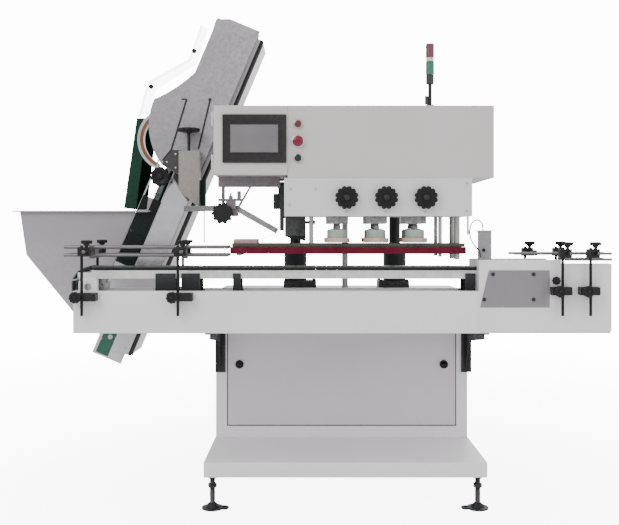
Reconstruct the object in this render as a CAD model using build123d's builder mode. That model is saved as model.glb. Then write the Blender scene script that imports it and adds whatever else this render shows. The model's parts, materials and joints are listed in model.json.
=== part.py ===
from build123d import *
import math
import os

# Inline bottle capping machine. Millimetres, +X along the conveyor (bottles travel that way),
# +Y away from the operator, +Z up. The origin is on the floor, at the centre of the four anchor holes.

os.makedirs("parts", exist_ok=True)

# ---- driving dimensions ------------------------------------------------------------------
SHEET = 3                                  # folded sheet metal
BASE_HALF_X, BASE_HALF_Y = 497, 400        # base tray
BASE_LOW, BASE_TOP = 120, 173
FOOT_X, FOOT_Y = 470, 360                  # levelling feet
ANCHOR_IN = 42                             # anchor hole, from the foot's axis towards the middle
ANCHOR_R = 7

CAB_X, CAB_FRONT, CAB_BACK, TABLE_Z = 493, -29, 400, 745
DOOR_X, DOOR_LOW, DOOR_HIGH = 445, 224, 690
LOCK_X, LOCK_Z = 400, 462

LANE_Y = -305                              # conveyor centre line
LANE_HALF = 95                             # skirt half width
LANE_LEFT, LANE_RIGHT = -954, 931
FRAME_RIGHT = LANE_RIGHT - SHEET
SKIRT_LOW, SKIRT_TOP = 625, 773
BED_HALF, BED_LOW, BED_TOP = 47, 814, 836  # chain bed between its two side strips
PITCH = 38.1                               # slat chain
CHAIN_TOP = 858
RUN_LINKS, TURN_LINKS = 46, 5              # pitches in a straight run and in a half turn
CHAIN_R = TURN_LINKS * PITCH / math.pi
TAIL_X = -903
DRIVE_X = TAIL_X + RUN_LINKS * PITCH
SPROCKET_Z = CHAIN_TOP - 10 - CHAIN_R
SHAFT_R = 12.5
RUN_GAP = 0.05                             # radial running clearance

COVER_X0, COVER_STEP, COVER_LOW = 467, 754, 633
COVER_TOP, COVER_TOP_END, COVER_DEEP = 882, 869, 41

COLUMN_X = (-183, 217)
COLUMN_Y, COLUMN_R, POST_R = 70, 45, 22
SCREW_X, LIFT_SCREW_R = 17, 12

HEAD_X0, HEAD_X1, HEAD_SPLIT = -460, 516, -202
HEAD_FRONT, HEAD_BACK = -420, -40      # the back clears the sorter plate
HEAD_LOW, HEAD_LOW_LEFT, HEAD_TOP = 1168, 1178, 1420
CASE_X0, CASE_X1, CASE_BACK, CASE_LOW = -214, 440, -190, 1035
STATIONS = (-28, 109, 246)
GAP_KNOBS = (3, 140, 277)
KNOB_Z = 1099
WHEEL_FRONT, WHEEL_REAR = -364, -246
WHEEL_R, WHEEL_LOW, WHEEL_HIGH, HUB_HIGH = 45, 943, 959, 989
SPINDLE_R = 8
GRIP_X0, GRIP_X1, GRIP_R = -407, 429, 32
GRIP_FRONT, GRIP_REAR = -359, -251
GRIP_LOW, GRIP_HIGH, GRIP_PLATE = 903, 927, 12

ELEV_FRONT, ELEV_BACK = 5, 245             # elevator side plates, outside faces
LEAN = math.radians(22.9)                  # elevator, from vertical
EDGE_X, EDGE_Z = -838, 489                 # lower end of the elevator's straight right edge
EDGE_LEN = 1355
ROLLER_R, BELT_T, CLEAT_H = 35, 4, 28

CABLE_R = 2.5


def slab(x0, x1, y0, y1, z0, z1, mode=Mode.ADD):
    """A rectangular block between two corners."""
    with Locations(((x0 + x1) / 2, (y0 + y1) / 2, (z0 + z1) / 2)):
        Box(abs(x1 - x0), abs(y1 - y0), abs(z1 - z0), mode=mode)


def rod_z(x, y, radius, z0, z1, mode=Mode.ADD):
    """An upright round bar."""
    with Locations((x, y, (z0 + z1) / 2)):
        Cylinder(radius, z1 - z0, mode=mode)


def rod_y(x, z, radius, y0, y1, mode=Mode.ADD):
    """A round bar along Y."""
    with Locations((x, (y0 + y1) / 2, z)):
        Cylinder(radius, y1 - y0, rotation=(90, 0, 0), mode=mode)


def rod_x(y, z, radius, x0, x1, mode=Mode.ADD):
    """A round bar along X."""
    with Locations(((x0 + x1) / 2, y, z)):
        Cylinder(radius, x1 - x0, rotation=(0, 90, 0), mode=mode)


def plate_xz(points, y0, y1, mode=Mode.ADD):
    """A flat plate with a straight-sided outline in X and Z, from y0 back to y1."""
    with BuildSketch(Plane.XZ.offset(-y1)) as outline:
        with BuildLine():
            Polyline(*points, close=True)
        make_face()
    extrude(outline.sketch, amount=y1 - y0, mode=mode)


def star_knob(x, z, radius, y_face, thick):
    """A ten-lobed hand knob facing the operator."""
    with BuildSketch(Plane.XZ.offset(-y_face)) as lobes:
        with Locations((x, z)):
            Circle(radius * 0.86)
            with PolarLocations(radius * 0.84, 10):
                Circle(radius * 0.16)
    extrude(lobes.sketch, amount=thick)


def save(piece, name):
    piece.part.label = name
    export_step(piece.part, f"parts/{name}.step")


# ---- base tray and levelling feet ---------------------------------------------------------
with BuildPart() as base_tray:
    slab(-BASE_HALF_X, BASE_HALF_X, -BASE_HALF_Y, BASE_HALF_Y, BASE_LOW, BASE_TOP)
    inner_x, inner_y = BASE_HALF_X - SHEET, BASE_HALF_Y - SHEET
    slab(-inner_x, inner_x, -inner_y, inner_y, BASE_LOW, BASE_TOP - SHEET, Mode.SUBTRACT)
    with GridLocations(2 * FOOT_X, 2 * FOOT_Y, 2, 2):
        with Locations((0, 0, (BASE_LOW + BASE_TOP - SHEET) / 2)):
            Box(48, 68, BASE_TOP - SHEET - BASE_LOW)
            Cylinder(9.2, BASE_TOP - SHEET - BASE_LOW, mode=Mode.SUBTRACT)
save(base_tray, "base_tray")

with BuildPart() as levelling_feet:
    for side in (-1, 1):
        for depth in (-1, 1):
            x, y = side * FOOT_X, depth * FOOT_Y
            with BuildSketch(Plane.XY):
                with Locations((x, y)):
                    Circle(38)
                with Locations((x - side * ANCHOR_IN / 2, y)):
                    SlotCenterToCenter(ANCHOR_IN, 34)
                with Locations((x - side * ANCHOR_IN, y)):
                    Circle(ANCHOR_R, mode=Mode.SUBTRACT)
            extrude(amount=7)
            with Locations((x, y, 7 + 7)):
                Cone(26, 14, 14)
            rod_z(x, y, 9, 20, 164)
            for nut_z, nut_h in ((76, 14), (BASE_LOW - 12, 12)):
                with BuildSketch(Plane.XY.offset(nut_z)):
                    with Locations((x, y)):
                        RegularPolygon(16, 6)
                extrude(amount=nut_h)
save(levelling_feet, "levelling_feet")

# ---- cabinet ------------------------------------------------------------------------------
with BuildPart() as cabinet_shell:
    slab(-CAB_X, CAB_X, CAB_FRONT, CAB_BACK, BASE_TOP, TABLE_Z)
    slab(-CAB_X + SHEET, CAB_X - SHEET, CAB_FRONT + SHEET, CAB_BACK - SHEET,
         BASE_TOP, TABLE_Z - 10, Mode.SUBTRACT)
    slab(-DOOR_X + 20, DOOR_X - 20, CAB_FRONT - 1, CAB_FRONT + SHEET + 1,
         DOOR_LOW + 20, DOOR_HIGH - 20, Mode.SUBTRACT)
    rod_z(SCREW_X, COLUMN_Y, LIFT_SCREW_R + 3, TABLE_Z - 20, TABLE_Z + 1, Mode.SUBTRACT)
    for x in COLUMN_X:
        rod_z(x, COLUMN_Y, POST_R + 2, TABLE_Z - 20, TABLE_Z + 1, Mode.SUBTRACT)
save(cabinet_shell, "cabinet_shell")

with BuildPart() as cabinet_door:
    slab(-DOOR_X, DOOR_X, CAB_FRONT - SHEET, CAB_FRONT, DOOR_LOW, DOOR_HIGH)
    with Locations((0, CAB_FRONT + 9, (DOOR_LOW + DOOR_HIGH) / 2)):
        Box(600, 18, 40)
    for side in (-1, 1):
        rod_y(side * LOCK_X, LOCK_Z, 7 + RUN_GAP, CAB_FRONT - 5, CAB_FRONT + 2, Mode.SUBTRACT)
save(cabinet_door, "cabinet_door")

for side, name in ((-1, "door_lock_left"), (1, "door_lock_right")):
    with BuildPart() as door_lock:
        x = side * LOCK_X
        rod_y(x, LOCK_Z, 16, CAB_FRONT - SHEET - 10, CAB_FRONT - SHEET - 0.1)
        chamfer(door_lock.faces().sort_by(Axis.Y)[0].edges(), 2)
        rod_y(x, LOCK_Z, 7, CAB_FRONT - SHEET - 1, CAB_FRONT + 7)
        slab(x - 9, x + 9, CAB_FRONT + SHEET + 0.3, CAB_FRONT + 7, LOCK_Z - 9, LOCK_Z + 38)
        slab(x - 10, x + 10, CAB_FRONT - SHEET - 14, CAB_FRONT - SHEET - 9, LOCK_Z - 2.5, LOCK_Z + 2.5)
    save(door_lock, name)

# ---- conveyor ------------------------------------------------------------------------------
with BuildPart() as conveyor_frame:
    for side in (-1, 1):
        face = LANE_Y + side * LANE_HALF
        back = face - side * SHEET
        lip = face - side * 22
        bearing = face - side * 24
        slab(LANE_LEFT, FRAME_RIGHT, face, back, SKIRT_LOW, SKIRT_TOP)
        slab(LANE_LEFT, FRAME_RIGHT, back, lip, SKIRT_TOP - SHEET, SKIRT_TOP)
        slab(LANE_LEFT, FRAME_RIGHT, back, lip, SKIRT_LOW, SKIRT_LOW + SHEET)
        strip = LANE_Y + side * BED_HALF
        slab(LANE_LEFT + 4, LANE_RIGHT - 6, strip, strip - side * 5, BED_LOW, BED_TOP)
        slab(TAIL_X, DRIVE_X, strip - side * 5, strip - side * 22, BED_LOW, BED_TOP + 7)
        for x in (TAIL_X, DRIVE_X):
            slab(x - 32, x + 32, back, bearing, SPROCKET_Z - 32, SPROCKET_Z + 20)
            slab(x - 25, x + 25, bearing, strip - side * 12, SPROCKET_Z - 22, BED_LOW + 6)
            rod_y(x, SPROCKET_Z, SHAFT_R + RUN_GAP, LANE_Y - LANE_HALF + 2, LANE_Y + LANE_HALF - 2,
                  Mode.SUBTRACT)
save(conveyor_frame, "conveyor_frame")

STANCHIONS = ((-637, 36), (-548, 33), (-384, 14), (445, 18))     # centre and half width
with BuildPart() as support_brackets:
    # cross bearers that carry the chain bed on the skirts
    for x, half in STANCHIONS:
        for side in (-1, 1):
            slab(x - half, x + half, LANE_Y + side * (BED_HALF + 6), LANE_Y + side * BED_HALF,
                 SKIRT_TOP - SHEET, BED_TOP - 3)
            slab(x - half, x + half, LANE_Y + side * (LANE_HALF - SHEET), LANE_Y + side * BED_HALF,
                 SKIRT_TOP - SHEET - 8, SKIRT_TOP - SHEET)
    # arms that carry the conveyor on the cabinet
    for x in (-475, 488):
        arm = ((CAB_FRONT, 431), (CAB_FRONT, SKIRT_LOW), (LANE_Y - LANE_HALF + 20, SKIRT_LOW),
               (LANE_Y - LANE_HALF + 20, SKIRT_LOW - 24), (CAB_FRONT - 60, 560))
        with BuildSketch(Plane.YZ.offset(x - 3)):
            with BuildLine():
                Polyline(*arm, close=True)
            make_face()
        extrude(amount=6)
        slab(x - 20, x + 20, CAB_FRONT - 8, CAB_FRONT, 431, SKIRT_LOW - 2)
        slab(x - 20, x + 20, LANE_Y - LANE_HALF + 20, LANE_Y + LANE_HALF, SKIRT_LOW - 8, SKIRT_LOW)
    # beams from the cabinet to the elevator
    for y0, y1 in ((ELEV_FRONT - 50, ELEV_FRONT), (ELEV_BACK, ELEV_BACK + 50)):
        slab(-850, -CAB_X, y0, y1, 650, 700)
save(support_brackets, "support_brackets")

with BuildPart() as slat_chain:
    for link in range(RUN_LINKS):
        x = TAIL_X + (link + 0.5) * PITCH
        for side in (-1, 1):
            z = SPROCKET_Z + side * CHAIN_R
            with Locations((x, LANE_Y, z + side * 7.5)):
                Box(PITCH - 1.5, 82.5, 5)
            with Locations((x, LANE_Y, z)):
                Box(PITCH - 2, 38, 10)
    for x, start in ((TAIL_X, 90), (DRIVE_X, -90)):
        with BuildSketch(Plane.XZ.offset(-LANE_Y - 41.25)):
            for link in range(TURN_LINKS):
                angle = start + (link + 0.5) * 180 / TURN_LINKS
                reach = CHAIN_R + 7.5
                place = (x + reach * math.cos(math.radians(angle)),
                         SPROCKET_Z + reach * math.sin(math.radians(angle)))
                with Locations(Location(place, angle)):
                    Rectangle(5, PITCH - 1.5)
        extrude(amount=82.5)
        with BuildSketch(Plane.XZ.offset(-LANE_Y - 19)):
            for link in range(TURN_LINKS):
                angle = start + (link + 0.5) * 180 / TURN_LINKS
                place = (x + CHAIN_R * math.cos(math.radians(angle)),
                         SPROCKET_Z + CHAIN_R * math.sin(math.radians(angle)))
                with Locations(Location(place, angle)):
                    Rectangle(10, PITCH - 12)
        extrude(amount=38)
save(slat_chain, "slat_chain")

for x, name in ((DRIVE_X, "drive_sprocket"), (TAIL_X, "tail_sprocket")):
    with BuildPart() as sprocket:
        with BuildSketch(Plane.XZ.offset(-LANE_Y - 15)):
            with Locations((x, SPROCKET_Z)):
                Circle(54.5)
                with PolarLocations(55, 2 * TURN_LINKS, start_angle=18):
                    Circle(6, mode=Mode.SUBTRACT)
                with PolarLocations(32, 5):
                    Circle(7, mode=Mode.SUBTRACT)
        extrude(amount=30)
        rod_y(x, SPROCKET_Z, 20, LANE_Y - 22, LANE_Y + 22)
        rod_y(x, SPROCKET_Z, SHAFT_R, LANE_Y - 90, LANE_Y + 90)
    save(sprocket, name)

cover_face = LANE_Y - LANE_HALF            # front face of the skirt
with BuildPart() as drive_cover:
    slab(COVER_X0, COVER_STEP, cover_face - SHEET, cover_face, COVER_LOW, COVER_TOP)
    slab(COVER_STEP, LANE_RIGHT, cover_face - SHEET, cover_face, COVER_LOW, COVER_TOP_END)
    inner = cover_face + COVER_DEEP
    for x0, x1, top, wall_low in ((COVER_X0, COVER_STEP, COVER_TOP, SKIRT_TOP),
                                  (COVER_STEP, LANE_RIGHT, COVER_TOP_END, 828)):
        slab(x0, x1, cover_face, inner, top - SHEET, top)
        slab(x0, x1, inner - SHEET, inner, wall_low, top - SHEET)
    slab(COVER_X0, COVER_X0 + SHEET, cover_face, inner - SHEET, SKIRT_TOP, COVER_TOP - SHEET)
    slab(FRAME_RIGHT, LANE_RIGHT, cover_face, LANE_Y + LANE_HALF, COVER_LOW, 843)
    slab(FRAME_RIGHT, LANE_RIGHT, cover_face, inner, 843, COVER_TOP_END - SHEET)
    slab(COVER_X0, COVER_STEP, LANE_Y + LANE_HALF, LANE_Y + LANE_HALF + SHEET, SKIRT_TOP - 20, COVER_TOP)
save(drive_cover, "drive_cover")

PLATE_X0, PLATE_X1, PLATE_LOW, PLATE_HIGH = 470, 713, 716, 846
with BuildPart() as inspection_plate:
    plate_face = cover_face - SHEET
    plate_xz(((PLATE_X0 + 31, PLATE_HIGH), (PLATE_X1, PLATE_HIGH), (PLATE_X1, PLATE_LOW),
              (PLATE_X0, PLATE_LOW)), plate_face - 3, plate_face)
    for x, z in ((PLATE_X0 + 45, PLATE_HIGH - 14), (PLATE_X1 - 56, PLATE_HIGH - 14),
                 (PLATE_X1 - 56, PLATE_LOW + 28), (PLATE_X0 + 14, PLATE_LOW + 28)):
        rod_y(x, z, 6, plate_face - 6.5, plate_face - 3)
save(inspection_plate, "inspection_plate")

GLAND = (474, -390)
with BuildPart() as sensor_post:
    slab(468, 517, -372, -369, COVER_TOP, 986)
    slab(468, 517, -369, -359, COVER_TOP, COVER_TOP + 3)
    slab(478, 500, -369, -349, 945, 985)
    rod_z(*GLAND, 7, COVER_TOP, COVER_TOP + 8)
save(sensor_post, "sensor_post")

# sensor lead: out of the sensor's top, over to the left and down into the cover's gland
LEAD_ROUTE = [(489, -359, 985), (489, -359, 1005), (477, -363, 1022), (456, -368, 1022),
              (442, -374, 1004), (437, -380, 977), (442, -386, 951), (456, -389, 929),
              (474, -390, 911), (474, -390, 890)]
lead_radii = []
for before, corner, after in zip(LEAD_ROUTE, LEAD_ROUTE[1:], LEAD_ROUTE[2:]):
    run_in = Vector(*corner) - Vector(*before)
    run_out = Vector(*after) - Vector(*corner)
    half_turn = math.radians(run_in.get_angle(run_out) / 2)
    lead_radii.append(0.45 * min(run_in.length, run_out.length) / math.tan(half_turn))
print("sensor lead radii", [round(r) for r in lead_radii])
with BuildPart() as sensor_cable:
    with BuildLine() as lead_line:
        FilletPolyline(*LEAD_ROUTE, radius=lead_radii)
    first_run = Vector(*LEAD_ROUTE[1]) - Vector(*LEAD_ROUTE[0])
    with BuildSketch(Plane(origin=LEAD_ROUTE[0], z_dir=first_run)):
        Circle(CABLE_R)
    sweep(path=lead_line.wires()[0])
print("sensor lead", round(lead_line.wires()[0].length), "mm, volume against section x length",
      round(sensor_cable.part.volume / (math.pi * CABLE_R ** 2 * lead_line.wires()[0].length), 3))
save(sensor_cable, "sensor_cable")

# ---- guide rails ----------------------------------------------------------------------------
BAR_R = 6                                  # cross bars
POST_BAR_R = 5
POST_OUT = 25                              # post axis, out from the skirt's face
RAIL_IN = 45                               # bar axis, from the conveyor's centre line
RAILS = {   # name: side of the lane, bars (x0, x1, z), stand positions
    "guide_rail_infeed_front": (-1, ((-999, -415, 926), (-999, -415, 898)), (-917, -583)),
    "guide_rail_infeed_rear": (1, ((-999, -415, 926), (-999, -415, 898)), (-920, -600)),
    "guide_rail_outfeed_front": (-1, ((601, 950, 903), (783, 950, 882)), (753, 850)),
    "guide_rail_outfeed_rear": (1, ((601, 950, 903), (783, 950, 882)), (681, 797)),
}
ROD_AT = {"infeed": 912, "outfeed": 906}


def rod_height(name):
    return ROD_AT["infeed"] if "infeed" in name else ROD_AT["outfeed"]


def clamp_height(name):
    """Height of a stand's lower clamp, which holds it on the skirt or the drive cover."""
    return 754 if "infeed" in name else 775


for name, (side, bars, stands) in RAILS.items():
    y_bar = LANE_Y + side * RAIL_IN
    y_post = LANE_Y + side * (LANE_HALF + POST_OUT)
    with BuildPart() as rail:
        for x0, x1, z in bars:
            rod_x(y_bar, z, BAR_R if "infeed" in name else 4.5, x0, x1)
        for x in stands:
            z = rod_height(name)
            low, high = sorted((y_bar, y_post + side * 45))
            rod_y(x + 17, z, BAR_R, low, high)
            bottom = 886 if "infeed" in name or x > 783 else 894
            slab(x + 9, x + 25, y_bar - 7, y_bar + 7, bottom, 932 if "infeed" in name else 914)
        if "outfeed" in name:
            slab(783, 795, y_bar - 5, y_bar + 5, 878, 907)
    save(rail, name)

with BuildPart() as rail_stands:
    for name, (side, bars, stands) in RAILS.items():
        y_post = LANE_Y + side * (LANE_HALF + POST_OUT)
        for x in stands:
            on_cover = x > COVER_X0 and (side < 0 or x < COVER_STEP)
            y_face = LANE_Y + side * (LANE_HALF + (SHEET if on_cover else 0))
            z = rod_height(name)
            rod_z(x, y_post, POST_BAR_R, 688, z + 20)
            low, high = sorted((y_face, y_post + side * 14))
            clamp_z = clamp_height(name)
            if side < 0 and "infeed" in name:
                slab(x - 36, x + 51, low, high, clamp_z - 14, clamp_z + 14)
            else:
                slab(x - 38, x + 30, low, high, clamp_z - 14, clamp_z + 14)
            slab(x - 12, x + 29, y_post - 13, y_post + 13, z - 15, z + 15)
            rod_y(x + 17, z, BAR_R + RUN_GAP, y_post - 14, y_post + 14, Mode.SUBTRACT)
save(rail_stands, "rail_stands")


def top_knob(x, y, z, radius, thick, stem, stem_r=5):
    """A lobed hand knob on an upright stem; z is the stem's foot."""
    rod_z(x, y, stem_r, z, z + stem)
    with BuildSketch(Plane.XY.offset(z + stem)) as lobes:
        with Locations((x, y)):
            Circle(radius * 0.86)
            with PolarLocations(radius * 0.84, 8):
                Circle(radius * 0.16)
    extrude(lobes.sketch, amount=thick)


RING_X, RING_Z, RING_R = -675.6, 1342.5, 126
with BuildPart() as clamp_knobs:
    for name, (side, bars, stands) in RAILS.items():
        y_post = LANE_Y + side * (LANE_HALF + POST_OUT)
        for x in stands:
            top_knob(x + 17, y_post, rod_height(name) + 15, 20, 12, 12, 6)
            if side < 0:
                front = y_post - 14
                rod_y(x - 16, clamp_height(name), 5, front - 10, front)
                star_knob(x - 16, clamp_height(name), 21, front - 10, 12)
            else:
                back = y_post + 14
                rod_y(x - 16, clamp_height(name), 5, back, back + 10)
                star_knob(x - 16, clamp_height(name), 21, back + 22, 12)
    # sorter track knob, drop box knob and the clear guard's two thumb knobs
    rod_y(-708, 1196, 8, -40, 5)
    star_knob(-708, 1196, 39, -40, 18)
    top_knob(-592, -80, 1293, 43, 14, 74, 6)
    for x, z in ((-745, 1548), (-577, 1687)):
        rod_y(x, z, 9, -48, -36)
save(clamp_knobs, "clamp_knobs")

# ---- columns and lift -----------------------------------------------------------------------
POST_LOW, SLEEVE_TOP = 625, 900
MOUNT_TOP, MOUNT_Y = 786, 60               # cast mounts of the columns on the table
MOUNT_X = ((-229, -99), (149, 270))
with BuildPart() as column_sleeves:
    for x, (x0, x1) in zip(COLUMN_X, MOUNT_X):
        slab(x0, x1, COLUMN_Y - MOUNT_Y, COLUMN_Y + MOUNT_Y, TABLE_Z, MOUNT_TOP)
        rod_z(x, COLUMN_Y, COLUMN_R, TABLE_Z, SLEEVE_TOP)
        rod_z(x, COLUMN_Y, POST_R + RUN_GAP, TABLE_Z, SLEEVE_TOP, Mode.SUBTRACT)
        with Locations(((x0 + x1) / 2, COLUMN_Y, MOUNT_TOP + 3)):
            with GridLocations(x1 - x0 - 18, 2 * MOUNT_Y - 18, 2, 2):
                Cylinder(6, 6)
save(column_sleeves, "column_sleeves")

LIFT_UP = 120                              # head travel above rest
CROSS_LOW = 1100
with BuildPart() as head_posts:
    for x in COLUMN_X:
        rod_z(x, COLUMN_Y, POST_R, POST_LOW, HEAD_LOW)
    slab(-250, 285, 10, 130, CROSS_LOW, HEAD_LOW)
    slab(-250, 285, CASE_BACK, 10, HEAD_LOW - 18, HEAD_LOW)
    rod_z(SCREW_X, COLUMN_Y, LIFT_SCREW_R + RUN_GAP, CROSS_LOW, HEAD_LOW, Mode.SUBTRACT)
save(head_posts, "head_posts")

with BuildPart() as lift_screw:
    rod_z(SCREW_X, COLUMN_Y, LIFT_SCREW_R, 691, HEAD_LOW + LIFT_UP + 10)
    rod_z(SCREW_X, COLUMN_Y, 20, 700, 724)
save(lift_screw, "lift_screw")

# ---- elevator -------------------------------------------------------------------------------
def uv(u, v):
    """A point of the elevator, u up along its right edge and v across to the left, in X and Z."""
    return (EDGE_X + u * math.sin(LEAN) - v * math.cos(LEAN),
            EDGE_Z + u * math.cos(LEAN) + v * math.sin(LEAN))


TAIL_U, HEAD_U, ROLLER_V = 40, 1310, 100
BELT_Y0, BELT_Y1 = 15, 235
ROLLERS = {"elevator_tail_roller": uv(TAIL_U, ROLLER_V), "elevator_head_roller": uv(HEAD_U, ROLLER_V)}
band = (uv(-44, 20), uv(-44, 144), uv(30, 144), uv(90, 200), uv(1370, 200), uv(1370, 20))
window = (uv(330, 125), uv(330, 194), uv(800, 194), uv(800, 125))
with BuildPart() as elevator_plates:
    for y0 in (ELEV_FRONT, ELEV_BACK - SHEET):
        plate_xz(band, y0, y0 + SHEET)
        for x, z in ROLLERS.values():
            rod_y(x, z, 10 + RUN_GAP, y0 - 1, y0 + SHEET + 1, Mode.SUBTRACT)
    plate_xz(window, ELEV_FRONT - 1, ELEV_FRONT + SHEET + 1, Mode.SUBTRACT)
    # back channel along the right edge, and three cross ties
    plate_xz((uv(0, 0), uv(EDGE_LEN, 0), uv(EDGE_LEN, 20), uv(0, 20)), ELEV_FRONT, ELEV_BACK)
    plate_xz((uv(-1, 3), uv(EDGE_LEN + 1, 3), uv(EDGE_LEN + 1, 17), uv(-1, 17)),
             ELEV_FRONT + SHEET, ELEV_BACK - SHEET, Mode.SUBTRACT)
    for u in (250, 700, 1150):
        plate_xz((uv(u, 96), uv(u, 104), uv(u + 30, 104), uv(u + 30, 96)),
                 ELEV_FRONT + SHEET, ELEV_BACK - SHEET)
    # bright cover panel on the front plate's right half
    plate_xz((uv(330, 24), uv(330, 118), uv(715, 118), uv(650, 24)), ELEV_FRONT - 4, ELEV_FRONT)
save(elevator_plates, "elevator_plates")

with BuildPart() as elevator_belt:
    for radius, mode in ((ROLLER_R + BELT_T, Mode.ADD), (ROLLER_R + RUN_GAP, Mode.SUBTRACT)):
        plate_xz((uv(TAIL_U, ROLLER_V - radius), uv(HEAD_U, ROLLER_V - radius),
                  uv(HEAD_U, ROLLER_V + radius), uv(TAIL_U, ROLLER_V + radius)), BELT_Y0, BELT_Y1, mode)
        for x, z in ROLLERS.values():
            rod_y(x, z, radius, BELT_Y0, BELT_Y1, mode)
    cleat_gap = (HEAD_U - TAIL_U) / 14
    for run in (-1, 1):
        for cleat in range(14):
            u = TAIL_U + (cleat + 0.5) * cleat_gap
            v0 = ROLLER_V + run * (ROLLER_R + BELT_T - 1)
            v1 = ROLLER_V + run * (ROLLER_R + BELT_T + CLEAT_H)
            plate_xz((uv(u, v0), uv(u, v1), uv(u + 5, v1), uv(u + 5, v0)), BELT_Y0 + 6, BELT_Y1 - 6)
save(elevator_belt, "elevator_belt")

for name, (x, z) in ROLLERS.items():
    with BuildPart() as roller:
        rod_y(x, z, ROLLER_R, BELT_Y0 + 2, BELT_Y1 - 2)
        rod_y(x, z, 10, ELEV_FRONT - 4, ELEV_BACK + 14)
    save(roller, name)

# ---- sorter on top of the elevator ----------------------------------------------------------
PLATE_FRONT, TRACK_FRONT = -33, -30
with BuildPart() as sorter_plate:
    with BuildSketch(Plane.XZ.offset(-TRACK_FRONT)):
        with BuildLine():
            right_foot = uv(735, 22)
            Polyline((-492, 1815), (-438, 1815), (-320, 1766), right_foot, (-640, 1205), (-704, 1243))
            ThreePointArc((-704, 1243), (-756, 1385), (-735, 1501))
            ThreePointArc((-735, 1501), (-628, 1562), (-551, 1631))
            Line((-551, 1631), (-492, 1815))
        make_face()
    extrude(amount=SHEET)
save(sorter_plate, "sorter_plate")

BOX_X0, BOX_X1, BOX_LOW, BOX_HIGH = -630, -551, 1084, 1293
BOX_Y0, BOX_Y1 = -92, -34
BRIDGE = ((-590, -63, 1070), (-440, -290, 1066))
bridge_run = Vector(*BRIDGE[1]) - Vector(*BRIDGE[0])
with BuildPart() as cap_track:
    # curved reject ring, sandwiched between the elevator and the sorter plate
    with BuildSketch(Plane.XZ.offset(-ELEV_FRONT + 1)):
        with Locations((RING_X, RING_Z)):
            Circle(RING_R)
            Circle(RING_R - 24, mode=Mode.SUBTRACT)
        with Locations((RING_X + 84, RING_Z)):
            Rectangle(2 * RING_R, 2.2 * RING_R, mode=Mode.SUBTRACT)
    extrude(amount=ELEV_FRONT - 1 - TRACK_FRONT)
    # straight track walls down to the drop box
    for top, foot in (((-611, 1498), (-671, 1301)), ((-519, 1496), (-564, 1306))):
        plate_xz((top, (top[0] + 6, top[1]), (foot[0] + 6, foot[1]), foot), TRACK_FRONT, ELEV_FRONT)
    # drop box, open at both ends
    slab(BOX_X0, BOX_X1, BOX_Y0, BOX_Y1, BOX_LOW, BOX_HIGH)
    slab(BOX_X0 + 3, BOX_X1 - 3, BOX_Y0 + 3, BOX_Y1 - 3, BOX_LOW - 1, BOX_HIGH - 3, Mode.SUBTRACT)
    plate_xz(((BOX_X0 - 1, 1143), (BOX_X0 - 1, BOX_LOW - 1), (BOX_X0 + 66, BOX_LOW - 1)),
             BOX_Y0 - 1, BOX_Y1 + 1, Mode.SUBTRACT)
    slab(BOX_X0 + 20, BOX_X1 - 20, BOX_Y1, ELEV_FRONT - 4, 1150, 1165)
    slab(BOX_X1, BOX_X1 + 22, BOX_Y1 - 28, BOX_Y1 - 16, 1072, 1182)
    # open channel that brings the caps forward from the drop box to the head's chute
    with BuildSketch(Plane(origin=BRIDGE[0], x_dir=(0.849, 0.528, 0), z_dir=bridge_run)):
        Rectangle(54, 20)
        with Locations((0, 2)):
            Rectangle(46, 16, mode=Mode.SUBTRACT)
    extrude(amount=bridge_run.length)
    rod_z(BOX_X1 + 15, BOX_Y1 - 22, 2.5, 936, 1073)
    slab(BOX_X1 - 5, BOX_X1 + 2, -76, -64, 1074, BOX_LOW + 6)
save(cap_track, "cap_track")

with BuildPart() as return_chute:
    outer = ((-812, 1432), (-770, 1432), (-814, 1075), (-863, 1075))
    inner = ((-805, 1433), (-769, 1433), (-813, 1074), (-859, 1074))
    plate_xz(outer, ELEV_FRONT + 7, ELEV_BACK - 7)
    plate_xz(inner, ELEV_FRONT + 10, ELEV_BACK - 10, Mode.SUBTRACT)
save(return_chute, "return_chute")

with BuildPart() as guards:
    rim = ((-798, 1433), (-761, 1569), (-600, 1658), (-552, 1791))
    inside = ((-520, 1778), (-566, 1640), (-730, 1535), (-752, 1440))
    plate_xz(rim + inside, PLATE_FRONT - 3, PLATE_FRONT)
    rim_inside = tuple((x + 2.6, z - 2) for x, z in reversed(rim))
    plate_xz(rim + rim_inside, PLATE_FRONT, ELEV_FRONT - 5)
    # smoked window over the elevator's cleats
    plate_xz((uv(325, 122), uv(325, 198), uv(610, 198), uv(610, 122)), ELEV_FRONT - 3, ELEV_FRONT)
save(guards, "guards")

# ---- hopper ---------------------------------------------------------------------------------
RIM_Z, RIM_W = 1064, 22
HOP_Y0, HOP_Y1 = ELEV_FRONT - SHEET, ELEV_BACK + SHEET
with BuildPart() as hopper:
    rim_u = (RIM_Z - EDGE_Z - 200.5 * math.sin(LEAN)) / math.cos(LEAN)
    right_top, right_low = uv(rim_u, 200.5), uv(95, 200.5)
    shell = ((-1273, RIM_Z), right_top, right_low, (-1055, right_low[1]), (-1247, 889))
    plate_xz(shell, HOP_Y0, HOP_Y1)
    room = ((-1269, RIM_Z + 1), (right_top[0] + 1, RIM_Z + 1), (right_low[0] + 1, right_low[1] + 4),
            (-1053, right_low[1] + 4), (-1243, 890))
    plate_xz(room, HOP_Y0 + SHEET, HOP_Y1 - SHEET, Mode.SUBTRACT)
    slab(-1297, -1270, HOP_Y0 - RIM_W, HOP_Y1 + RIM_W, RIM_Z - 4, RIM_Z)
    slab(-1297, -753, HOP_Y0 - RIM_W, HOP_Y0, RIM_Z - 4, RIM_Z)
    slab(-1297, -753, HOP_Y1, HOP_Y1 + RIM_W, RIM_Z - 4, RIM_Z)
save(hopper, "hopper")

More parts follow.
